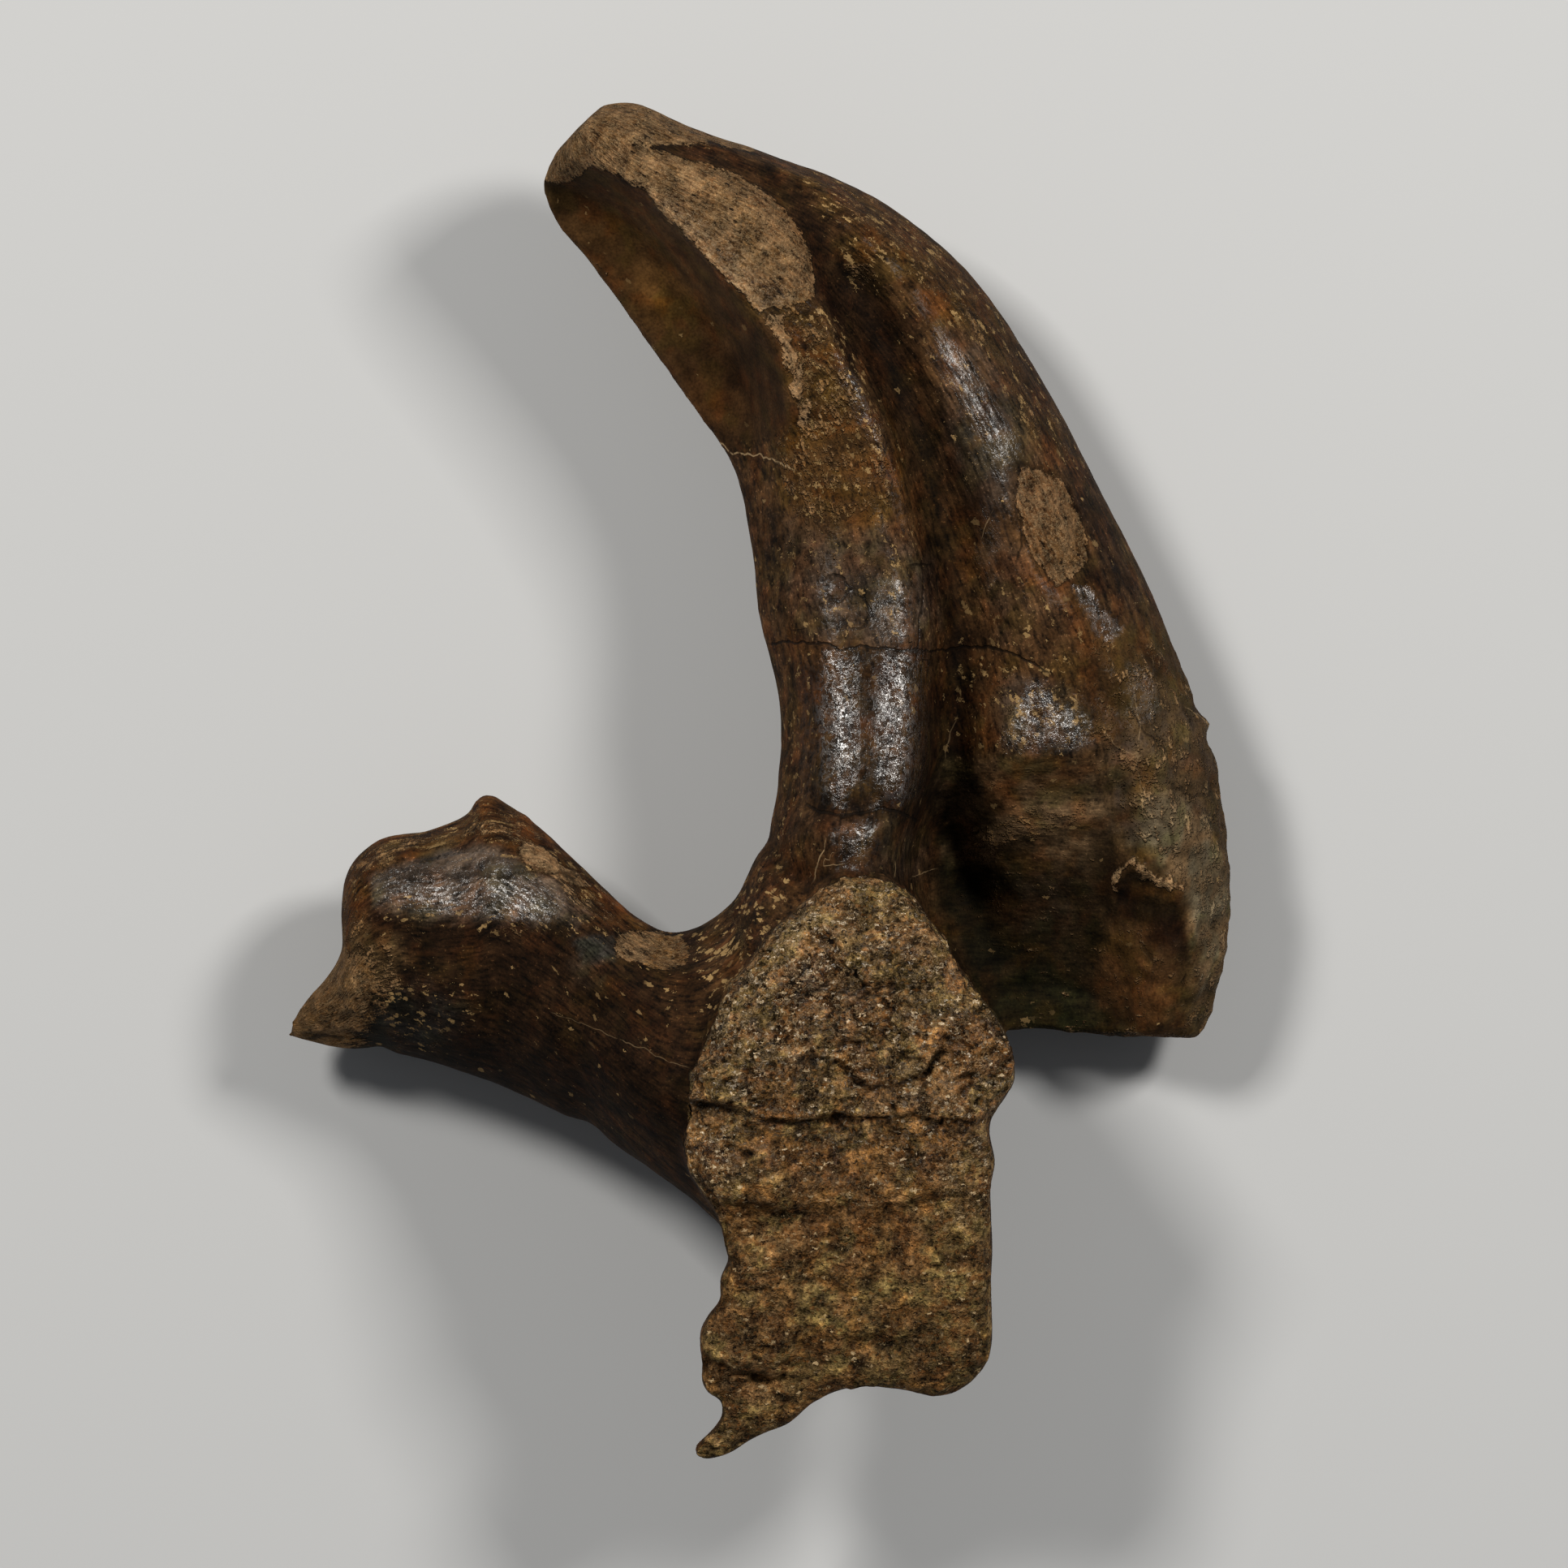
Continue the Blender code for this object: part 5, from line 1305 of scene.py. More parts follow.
class Dye:
    """Fills one material's node tree."""

    def __init__(self, name: str) -> None:
        """Makes the material and clears its tree.

        Args:
            name: The material's name.
        """
        self.material = bpy.data.materials.new(name)
        self.material.use_nodes = True
        self.tree = self.material.node_tree
        self.tree.nodes.clear()

    def node(self, kind: str, settings: dict[str, Any] | None = None,
             inputs: dict[Any, Any] | None = None) -> Any:
        """Adds a node.

        Args:
            kind: The node's type.
            settings: Its own settings, set first.
            inputs: Values, outputs or plain numbers, by socket name or number.

        Returns:
            The node.
        """
        node = self.tree.nodes.new(kind)
        for name, setting in (settings or {}).items():
            setattr(node, name, setting)
        for name, given in (inputs or {}).items():
            given = given.socket if isinstance(given, Value) else given
            if isinstance(given, Socket):
                self.tree.links.new(given, node.inputs[name])
            else:
                node.inputs[name].default_value = given
        return node

    def object_place(self) -> Socket:
        """Gives the place on the object, in millimetres."""
        return self.scaled(self.node("ShaderNodeTexCoord").outputs["Object"], (1.0 / MM,) * 3)

    def attribute(self, name: str) -> Socket:
        """Reads one of the mesh's own attributes as a vector."""
        return self.node("ShaderNodeAttribute", {"attribute_name": name}).outputs["Vector"]

    def parts(self, vector: Socket) -> tuple[Value, Value, Value]:
        """Splits a vector or a colour in three."""
        split = self.node("ShaderNodeSeparateXYZ", None, {0: vector})
        return tuple(Value(self, socket) for socket in split.outputs)

    def scaled(self, vector: Socket, factor: Sequence[float]) -> Socket:
        """Multiplies a vector or a colour by three plain numbers."""
        node = self.node("ShaderNodeVectorMath", {"operation": "MULTIPLY"}, {0: vector, 1: tuple(factor)})
        return node.outputs[0]

    def stretched(self, place: Socket, size: Size) -> Socket:
        """Stretches a pattern, so that its unit is this many millimetres long each way."""
        return self.scaled(place, [1.0 / one for one in size])

    def times(self, vector: Socket, factor: Value) -> Socket:
        """Multiplies a vector or a colour by one value."""
        node = self.node("ShaderNodeVectorMath", {"operation": "SCALE"}, {0: vector, "Scale": factor})
        return node.outputs[0]

    def pushed(self, place: Socket, hues: Socket, reach: float) -> Socket:
        """Pushes a place about by a noise's three-way colour."""
        push = self.scaled(hues, (reach,) * 3)
        return self.node("ShaderNodeVectorMath", {"operation": "ADD"}, {0: place, 1: push}).outputs[0]

    def mixed(self, share: Any, first: Any, second: Any) -> Socket:
        """Mixes two colours or vectors.

        Args:
            share: How much of the second there is, from 0 to 1.
            first: The first, an output or a plain colour.
            second: The second.

        Returns:
            The mix.
        """
        first, second = [(*c, 1.0) if isinstance(c, tuple) else c for c in (first, second)]
        settings = {"data_type": "RGBA", "clamp_factor": True}
        return self.node("ShaderNodeMix", settings, {0: share, 6: first, 7: second}).outputs[2]

    def blended(self, share: Any, first: Any, second: Any) -> Value:
        """Mixes two values: the first at share 0 and the second at 1."""
        settings = {"data_type": "FLOAT", "clamp_factor": True}
        return Value(self, self.node("ShaderNodeMix", settings, {0: share, 2: first, 3: second}).outputs[0])

    def noise(self, place: Socket, detail: float, rough: float) -> Value:
        """Adds noise.

        Args:
            place: Where it is read, already scaled, so that a lump is about one unit wide.
            detail: How many finer layers it has.
            rough: How strong each finer layer is.

        Returns:
            A value round 0.5, mostly from 0.25 to 0.75.
        """
        node = self.node("ShaderNodeTexNoise", {"noise_dimensions": "3D"}, {
            "Vector": place, "Scale": 1.0, "Detail": detail, "Roughness": rough, "Distortion": 0.0})
        return Value(self, node.outputs["Fac"])

    def noise_and_hues(self, place: Socket, detail: float, rough: float) -> tuple[Value, Socket]:
        """Adds noise as `noise` does, and gives its three-way colour as well, to push places with."""
        value = self.noise(place, detail, rough)
        return value, value.socket.node.outputs["Color"]

    def cells(self, place: Socket) -> tuple[Value, Value, Value, Value]:
        """Adds a pattern of irregular cells, one unit wide.

        Args:
            place: Where it is read, already scaled.

        Returns:
            The distances from the cell's middle and to its edge, and two random numbers a cell.
        """
        inputs = {"Vector": place, "Scale": 1.0, "Randomness": 1.0}
        node = self.node("ShaderNodeTexVoronoi", {"feature": "F1"}, inputs)
        edges = self.node("ShaderNodeTexVoronoi", {"feature": "DISTANCE_TO_EDGE"}, inputs)
        first, second, _ = self.parts(node.outputs["Color"])
        return Value(self, node.outputs["Distance"]), Value(self, edges.outputs["Distance"]), first, second

    def turned(self, place: Socket, degrees: float) -> Socket:
        """Turns a place about Z."""
        turn = (0.0, 0.0, math.radians(degrees))
        node = self.node("ShaderNodeMapping", {"vector_type": "POINT"}, {"Vector": place, "Rotation": turn})
        return node.outputs[0]


@dataclass(frozen=True)
class Grains:
    """How wide the bone's patterns are each way, and how far noise pushes them about, in millimetres.

    The rough face's threads are turned too, in degrees.
    """

    crumbs: Size = (0.42, 0.42, 0.42)
    mottles: Size = (2.4, 2.4, 2.4)
    threads: Size = (3.0, 0.55, 1.4)
    rough_threads: Size = (0.7, 2.4, 1.0)
    rough_threads_turn: float = 24.0
    chips: Size = (1.6, 0.85, 1.6)
    rough_chips: Size = (1.0, 1.0, 1.0)
    curly_wrinkles: Size = (1.25, 1.25, 1.5)
    streaky_wrinkles: Size = (3.4, 0.55, 1.2)
    side_wrinkles: Size = (2.6, 0.62, 1.4)
    rough_wrinkles: Size = (0.9, 0.9, 0.9)
    cells: Size = (1.0, 0.70, 1.5)
    rough_cells: Size = (0.80, 0.42, 0.60)
    waves: Size = (6.0, 1.3, 3.0)
    bend: float = 0.8
    curl: float = 0.9
    sweep: float = 3.6


class Patterns:
    """The patterns that the bone's surface is made of, and the marks stored at its points."""

    def __init__(self, dye: Dye, grains: Grains) -> None:
        """Adds the patterns' nodes.

        The noises come first, pushed about by each other so that no line in them is straight. Then come the
        kinds of bone: the rough face, the side process and the worn places, whose edges the noises fray.

        Args:
            dye: The material's nodes.
            grains: How wide the patterns are.
        """
        self.dye = dye
        place = dye.object_place()
        suture_depth, rubbed, on_side = dye.parts(dye.attribute("edges"))
        flecked, self.shiny, self.hollow = dye.parts(dye.attribute("marks"))
        self.petals, self.gravel, streaky = dye.parts(dye.attribute("crowds"))
        dark_near, dark_strength, self.lower = dye.parts(dye.attribute("dark_cracks"))
        pale_near, pale_strength, self.wet = dye.parts(dye.attribute("pale_cracks"))
        self.upper = 1.0 - self.lower

        self.fine, fine_hues = dye.noise_and_hues(dye.stretched(place, grains.crumbs), 1.0, 0.6)
        self.crumbs = (self.fine - 0.5) * 1.4
        self.mottle, mottle_hues = dye.noise_and_hues(dye.stretched(place, grains.mottles), 4.0, 0.70)
        self.swirl = self.mottle.eased(0.30, 0.70)
        self.stray = self.mottle - 0.5
        self.suture = (suture_depth + self.stray * 1.2).eased(-0.12, 0.12)
        side_here = (on_side + self.stray * 0.6).eased(0.45, 0.55)
        flow = dye.mixed(side_here, dye.attribute("flow_horn"), dye.attribute("flow_side"))
        bent = dye.pushed(flow, fine_hues, grains.bend)
        curled = dye.pushed(place, fine_hues, grains.curl)
        curly = dye.pushed(bent, mottle_hues, grains.sweep)
        swept = dye.pushed(place, mottle_hues, grains.sweep)

        rough_threads = dye.stretched(dye.turned(place, grains.rough_threads_turn), grains.rough_threads)
        self.fibre = dye.noise(self.rough_or(dye.stretched(flow, grains.threads), rough_threads), 2.0, 0.60)
        self.thread = self.fibre.eased(0.30, 0.70)
        rough_chips = dye.stretched(curled, grains.rough_chips)
        self.chips = dye.noise(self.rough_or(dye.stretched(bent, grains.chips), rough_chips), 3.0, 0.62)
        on_horn = dye.mixed(streaky, dye.stretched(curly, grains.curly_wrinkles),
                            dye.stretched(bent, grains.streaky_wrinkles))
        on_smooth = dye.mixed(side_here, on_horn, dye.stretched(bent, grains.side_wrinkles))
        rough_wrinkles = dye.stretched(curled, grains.rough_wrinkles)
        self.creases = dye.noise(self.rough_or(on_smooth, rough_wrinkles), 1.0, 0.5)
        self.wrinkle = (self.creases - 0.5).size()
        self.crease = 1.0 - (self.wrinkle * 8.0).least(1.0)
        self.waves = dye.noise(dye.stretched(swept, grains.waves), 2.0, 0.55).eased(0.32, 0.68)

        cell, edge, self.chance, self.hue = dye.cells(
            self.rough_or(dye.stretched(bent, grains.cells), dye.stretched(curled, grains.rough_cells)))
        kernel = (cell + self.crumbs * 0.5).eased(0.42, 0.32)
        self.angular = (edge + self.crumbs * 0.10).eased(0.07, 0.11)
        fraying = self.stray * 1.3 + (self.fibre - 0.5) * 0.7 + self.crumbs * 0.35
        self.worn = (rubbed + fraying).eased(-0.12, 0.12)

        self.fibrous = (flecked + 1.0).least(1.0)
        self.pepper = self.fine.eased(0.66, 0.72) * self.mottle.eased(0.42, 0.56) * self.fibrous
        blotch = (self.chips + flecked * 0.19).eased(0.700, 0.712) * self.fibrous
        self.fleck = blotch.most(self.angular * (self.chance + self.petals * 0.25).eased(0.985, 1.0))
        self.between_flecks = self.chips.eased(0.45, 0.39) * flecked.most(0.0)
        self.flaky = 1.0 - ((self.chips - 0.54).size() * 40.0).least(1.0)
        self.pore = kernel * self.chance.eased(0.05, 0.03)
        self.hole = kernel * self.chance.eased(0.15, 0.10)
        self.gaps = self.chips.eased(0.42, 0.38) * (0.35 + self.gravel * 0.65) * (1.0 - self.lower * 0.5)
        self.sparkle = self.angular * (self.chance + self.gravel * 0.25).eased(0.975, 1.0)

        whole = 1.0 - self.suture
        self.dark_line = (dark_near + self.crumbs * 0.8).size().eased(1.1, 0.35) * dark_strength * whole
        self.pale_line = (pale_near + self.crumbs * 0.5).size().eased(1.1, 0.35) * pale_strength * whole

    def rough_or(self, smooth: Socket, rough: Socket) -> Socket:
        """Takes one place for a pattern on the rough face, and the other everywhere else."""
        return self.dye.mixed(self.suture, smooth, rough)


@dataclass(frozen=True)
class FossilFinish:
    """Stone-filled bone: fibrous and dark where it is whole, pale and grainy where it is worn."""

    shine: float = 0.27
    dull: float = 0.80
    bone_ior: float = 1.5
    bone_gloss: float = 0.07
    lacquer_ior: float = 1.9
    lacquer_gloss: float = 1.0
    crack_depth: float = 0.18
    darkest: float = 0.12
    pore: Colour = (0.0050, 0.0030, 0.0016)
    # Painted glints on wrinkles and flake edges take this colour, and so do the pale cracks.
    glint: Colour = (0.40, 0.27, 0.140)
    cream: Colour = (0.48, 0.34, 0.180)
    fleck: Colour = (0.34, 0.215, 0.088)
    rust: Colour = (0.150, 0.060, 0.015)
    ash: Colour = (0.110, 0.078, 0.050)
    grains: Grains = Grains()

    def whole_bone(self, on: Patterns) -> Socket:
        """Colours the whole bone: darker and lighter along the fibres, peppered, and with pale flecks.

        Args:
            on: The surface's patterns.

        Returns:
            The colour.
        """
        dye = on.dye
        threaded = on.thread * 0.75 + on.creases.eased(0.30, 0.70) * 0.40
        shade = (threaded * 0.95 + 0.16) * (on.swirl * 0.80 + 0.60) + on.crumbs * 0.70
        smooth_shade = on.stray * 1.3 + on.crumbs * 0.80 + 0.82
        light = dye.blended(on.fibrous, smooth_shade, shade).most(self.darkest) * (1.0 + on.pepper * 1.5)
        tint = dye.times(dye.attribute("ground_tint"), light)
        tint = dye.times(tint, 1.0 - on.between_flecks * 0.8)
        return dye.mixed(on.fleck * (0.26 + on.hue * 0.62 + on.petals * 0.30), tint, self.fleck)

    def bare_bone(self, on: Patterns) -> Socket:
        """Colours the worn bone: pale and fibrous, with painted glints on its wrinkles and flake edges, brown
        places and dark pores.

        Args:
            on: The surface's patterns.

        Returns:
            The colour.
        """
        dye = on.dye
        powder = (on.thread * 0.80 + 0.44) * (on.swirl * 1.3 + 0.34) + on.crumbs
        tint = dye.times(dye.attribute("worn_tint"), powder.most(self.darkest) * (1.0 + on.pepper * 0.9))
        brown = (on.mottle.eased(0.56, 0.61) * 0.45).most(on.chips.eased(0.62, 0.64) * 0.5)
        tint = dye.mixed(brown, tint, dye.times(dye.attribute("ground_tint"), powder * 0.9))
        # Painted glints: pale lines along the wrinkles and the flakes' edges, stronger where the lacquer
        # pools.
        tint = dye.mixed(on.crease * on.chips.eased(0.50, 0.44) * (0.34 + on.shiny * 2.4), tint, self.glint)
        tint = dye.mixed(on.flaky * 0.60, tint, self.glint)
        return dye.mixed(on.pore * 0.9, tint, self.pore)

    def rough_face(self, on: Patterns) -> Socket:
        """Colours the rough face: curly, with chips from cream to nearly black, and wavy towards its foot.
        Its bright flake edges and cream chips are partly painted glints.

        Args:
            on: The surface's patterns.

        Returns:
            The colour.
        """
        dye = on.dye
        coarse = on.swirl * 1.8 + 0.30
        wavy = on.swirl * 0.85 + on.waves * 0.85 + 0.36
        ground = dye.blended(on.lower, coarse, wavy) * (on.crease * 0.85 + 0.50) + on.crumbs
        ground = ground * dye.blended(on.lower, on.hue + 0.52, on.thread * 0.5 + 0.75)
        tint = dye.times(dye.attribute("suture_tint"), ground.most(0.10))
        # Bright lines along the flakes' edges: partly pale flake edges, partly painted glints.
        tint = dye.mixed(on.flaky * (0.24 + on.gravel * 0.90), tint, self.glint)
        tint = dye.mixed(on.gaps * 0.75, tint, self.pore)
        tint = dye.mixed(on.angular * on.hue.eased(0.80, 0.84) * 0.6, tint, self.rust)
        tint = dye.mixed(on.angular * on.hue.eased(0.14, 0.10) * 0.6 * on.upper, tint, self.ash)
        # Cream chips: partly the face's own pale grains, partly painted glints.
        tint = dye.mixed(on.sparkle * (0.30 + on.hue * 0.70), tint, self.cream)
        return dye.mixed(on.hole * 0.85, tint, self.pore)

    def relief(self, on: Patterns) -> Value:
        """Works out the relief finer than the mesh.

        It is fibres, grains and pores, but where the lacquer lies thick it is the lacquer's wrinkles.

        Args:
            on: The surface's patterns.

        Returns:
            The height, in millimetres.
        """
        dye = on.dye
        bare = on.fibre * 0.045 + on.fine * 0.05 + on.fleck * 0.06 + on.pepper * 0.04 + on.mottle * 0.14
        lacquered = on.mottle * 0.08 - on.wrinkle * 0.46
        worn = (on.fibre * 0.26 + on.mottle * 0.85 + on.chips * 0.50 + on.fine * 0.14 - on.pore * 0.25
                - on.wrinkle * 0.25)
        coarse = (on.chips * 0.60 + on.hue * 0.20 - on.gaps * 0.12 + on.crease * 0.09 - on.hole * 0.16
                  + on.sparkle * 0.08 + on.mottle * 0.45 + on.fine * 0.10)
        woven = (on.waves * 0.30 + on.fibre * 0.20 + on.chips * 0.35 + on.crease * 0.05 - on.hole * 0.10
                 + on.mottle * 0.45 + on.fine * 0.12)
        smooth = dye.blended(on.worn, dye.blended(on.shiny * 1.5, bare, lacquered), worn)
        rough = dye.blended(on.lower, coarse, woven)
        return dye.blended(on.suture, smooth, rough) - on.dark_line * self.crack_depth

    def lacquer(self, on: Patterns) -> Value:
        """Works out how thickly the lacquer lies: in pools, as a film between them, and on bright chips.

        Args:
            on: The surface's patterns.

        Returns:
            Its share, from 0 to 1.
        """
        film = (on.mottle.eased(0.40, 0.60) * 0.02 + on.pepper * 0.09) * on.wet * (1.0 - on.worn)
        pools = on.shiny * (0.10 + on.crease * 0.90) * (0.4 + on.mottle.eased(0.30, 0.50) * 0.60)
        on_rough = (on.sparkle * 0.6 + on.mottle.eased(0.45, 0.60) * 0.12) * on.upper
        return on.dye.blended(on.suture, pools.most(film), on_rough)

    def material(self) -> bpy.types.Material:
        """Builds the whole finish as one material: matt bone, and the same bone under lacquer.

        Cracks lie in the whole bone alone. Hollows are darkened as painted shade, and raised edges are rubbed
        pale.

        Returns:
            The material, which reads Object coordinates and the mesh's own attributes.
        """
        dye = Dye("fossil_bone")
        on = Patterns(dye, self.grains)
        tint = dye.mixed(on.worn, self.whole_bone(on), self.bare_bone(on))
        tint = dye.mixed(on.suture, tint, self.rough_face(on))
        tint = dye.mixed(on.dark_line * 0.9, tint, self.pore)
        tint = dye.mixed(on.pale_line * on.mottle.eased(0.3, 0.5), tint, self.glint)
        # Painted shade: the colour darkens the more a point is sunk; raised edges are lightened as wear.
        painted_hollow_shade = 1.0 - on.hollow.eased(0.5, 0.95) * 0.60
        tint = dye.times(tint, painted_hollow_shade * (1.0 + on.hollow.eased(0.5, 0.05) * 0.55))
        height = self.relief(on)
        bump = dye.node("ShaderNodeBump", None, {"Strength": 1.0, "Distance": MM, "Height": height})
        matt, glossy = [
            dye.node("ShaderNodeBsdfPrincipled", None, {
                "Base Color": tint, "Roughness": rough, "Metallic": 0.0, "IOR": ior,
                "Specular IOR Level": gloss, "Normal": bump.outputs[0]}).outputs[0]
            for rough, ior, gloss in ((self.dull, self.bone_ior, self.bone_gloss),
                                      (self.shine, self.lacquer_ior, self.lacquer_gloss))]
        surface = dye.node("ShaderNodeMixShader", None, {0: self.lacquer(on), 1: matt, 2: glossy})
        dye.node("ShaderNodeOutputMaterial", None, {"Surface": surface.outputs[0]})
        return dye.material


# The bone.


@dataclass(frozen=True)
class RoughRelief:
    """The rough face's own relief: lumps, gravel and crevices, and threads towards its foot."""

    coarse_from: float = -53.0
    coarse_to: float = -47.0
    lumps: tuple[Lumps, ...] = (Lumps(1.25, 9.0, 1, 50), Lumps(0.95, 4.4, 1, 51), Lumps(0.55, 2.1, 3, 52))
    crevices: Lumps = Lumps(1.0, 3.4, 2, 58)
    crevice_width: float = 0.10
    crevice_depth: float = 0.75
    crevice_places: Clouds = Clouds(1.0, 7.0, 1, 59, -0.35, 0.25)
    gravel_places: Clouds = Clouds(0.7, 6.0, 1, 57, -0.35, 0.35)
    threads: Lumps = Lumps(0.22, 1.7, 2, 55)

    def at(self, points: Array) -> Array:
        """Works out the relief's height.

        Crevices lie where a noise passes through zero. Threads are a noise stretched along a slant.

        Args:
            points: Where, one row a point.

        Returns:
            Millimetres along the normals.
        """
        coarse = eased(points[:, 1], self.coarse_from, self.coarse_to)
        lumps = sum(one.at(points) for one in self.lumps)
        wide = points * np.array([0.5, 1.0, 1.0])
        crevice = np.exp(-((self.crevices.at(wide) / self.crevice_width) ** 2))
        crevice = crevice * self.crevice_places.at(points)
        gravel = pebbles(points, 1.9, 53) * 0.5 + pebbles(points, 1.0, 54) * 0.25 - 0.3
        crowded = 0.3 + self.gravel_places.at(points)
        slant = points @ np.array([[0.914, 0.25, 0.0], [-0.407, 0.56, 0.0], [0.0, 0.0, 0.8]])
        woven = self.threads.at(slant * np.array([1.0, 0.45, 1.0]))
        return (lumps * (0.55 + 0.45 * coarse) + gravel * crowded * (0.15 + 0.85 * coarse)
                - self.crevice_depth * crevice * (0.5 + 0.5 * coarse) + woven * (1.0 - coarse))


@dataclass(frozen=True)
class Relief:
    """All the relief that is pressed into the smooth skin."""

    ragged: Wavering = Wavering(0.45, 2.6, 2)
    skin_lumps: tuple[Lumps, ...] = (Lumps(0.10, 7.0, 2, 31), Lumps(0.05, 2.2, 1, 33))
    place_lumps: tuple[Lumps, ...] = (Lumps(1.2, 6.5, 1, 36), Lumps(1.0, 2.6, 3, 37))
    worn_lumps: tuple[Lumps, ...] = (Lumps(0.22, 2.0, 3, 41), Lumps(0.35, 3.6, 1, 45))
    broken_lumps: Lumps = Lumps(0.35, 4.0, 3, 43)
    rough: RoughRelief = RoughRelief()

    def pressed(self, points: Array, normals: Array) -> Array:
        """Presses the relief in: some moves points straight up or down, and the rest along their normals.

        Args:
            points: The smooth skin's points, in millimetres.
            normals: Their normals.

        Returns:
            The new points.
        """
        ragged = self.ragged.push(points)
        inside = depth_inside(points, SUTURE_OUTLINE)
        moved = points + normals * self.outward(points, normals, ragged, inside)[:, None]
        moved[:, 2] += self.upward(points, normals, ragged, inside)
        return moved

    @staticmethod
    def upward(points: Array, normals: Array, ragged: Array, inside: Array) -> Array:
        """Adds up ledges, strokes, pits and flakes, each times how much the skin faces up or down.

        Args:
            points: Where, one row a point.
            normals: The points' normals.
            ragged: The points, pushed about for ragged edges.
            inside: How deep in the suture's outline each point is.

        Returns:
            How far each point rises.
        """
        up = np.clip(2.0 * normals[:, 2], 0.0, 1.0)
        down = np.clip(-2.0 * normals[:, 2], 0.0, 1.0)
        suture = ((inside > 0.0) & (normals[:, 2] > 0.0)).astype(float)
        elsewhere = up * (1.0 - suture)
        rise = sum(ledge.lift(points) for ledge in LEDGES) * up * suture
        for stroke in STROKES:
            rise += stroke.lift(ragged) * (elsewhere if stroke.upper else -down)
        rise += sum(stroke.lift(ragged) for stroke in FINE_STROKES) * elsewhere
        for pit in PITS:
            rise -= pit.height * np.exp(-(pit.away(ragged) ** 4)) * up
        for flake in FLAKES:
            rise += flake.lift(ragged) * up
        return rise

    def outward(self, points: Array, normals: Array, ragged: Array, inside: Array) -> Array:
        """Adds up lumps and grain: of the whole skin, of worn places, of the outline and the rough face.

        Args:
            points: Where, one row a point.
            normals: The points' normals.
            ragged: The points, pushed about for ragged edges.
            inside: How deep in the suture's outline each point is.

        Returns:
            How far each point moves along its normal.
        """
        up = np.clip(2.0 * normals[:, 2], 0.0, 1.0)
        out = sum(one.at(points) for one in self.skin_lumps)
        for outline, height in LUMPY_PLACES:
            cover = eased(depth_inside(points, outline), -1.5, 2.0) * up
            some = np.nonzero(cover > 0.0)[0]
            out[some] += cover[some] * height * sum(one.at(points[some]) for one in self.place_lumps)
        out += covered(ragged, BARE_PLACES, 0.6) * up * sum(one.at(points) for one in self.worn_lumps)
        out += covered(ragged, BROKEN_EDGES, 1.0) * self.broken_lumps.at(points)
        for spike in SPIKES:
            out += spike.height * np.exp(-(spike.away(points) ** 2)) * eased(points[:, 2], 4.0, 12.0)
        rim = np.clip(inside / 1.5 + 0.6, 0.0, 1.0) * eased(normals[:, 2], -0.1, 0.4)
        some = np.nonzero(rim > 0.0)[0]
        out[some] += rim[some] * self.rough.at(points[some])
        return out


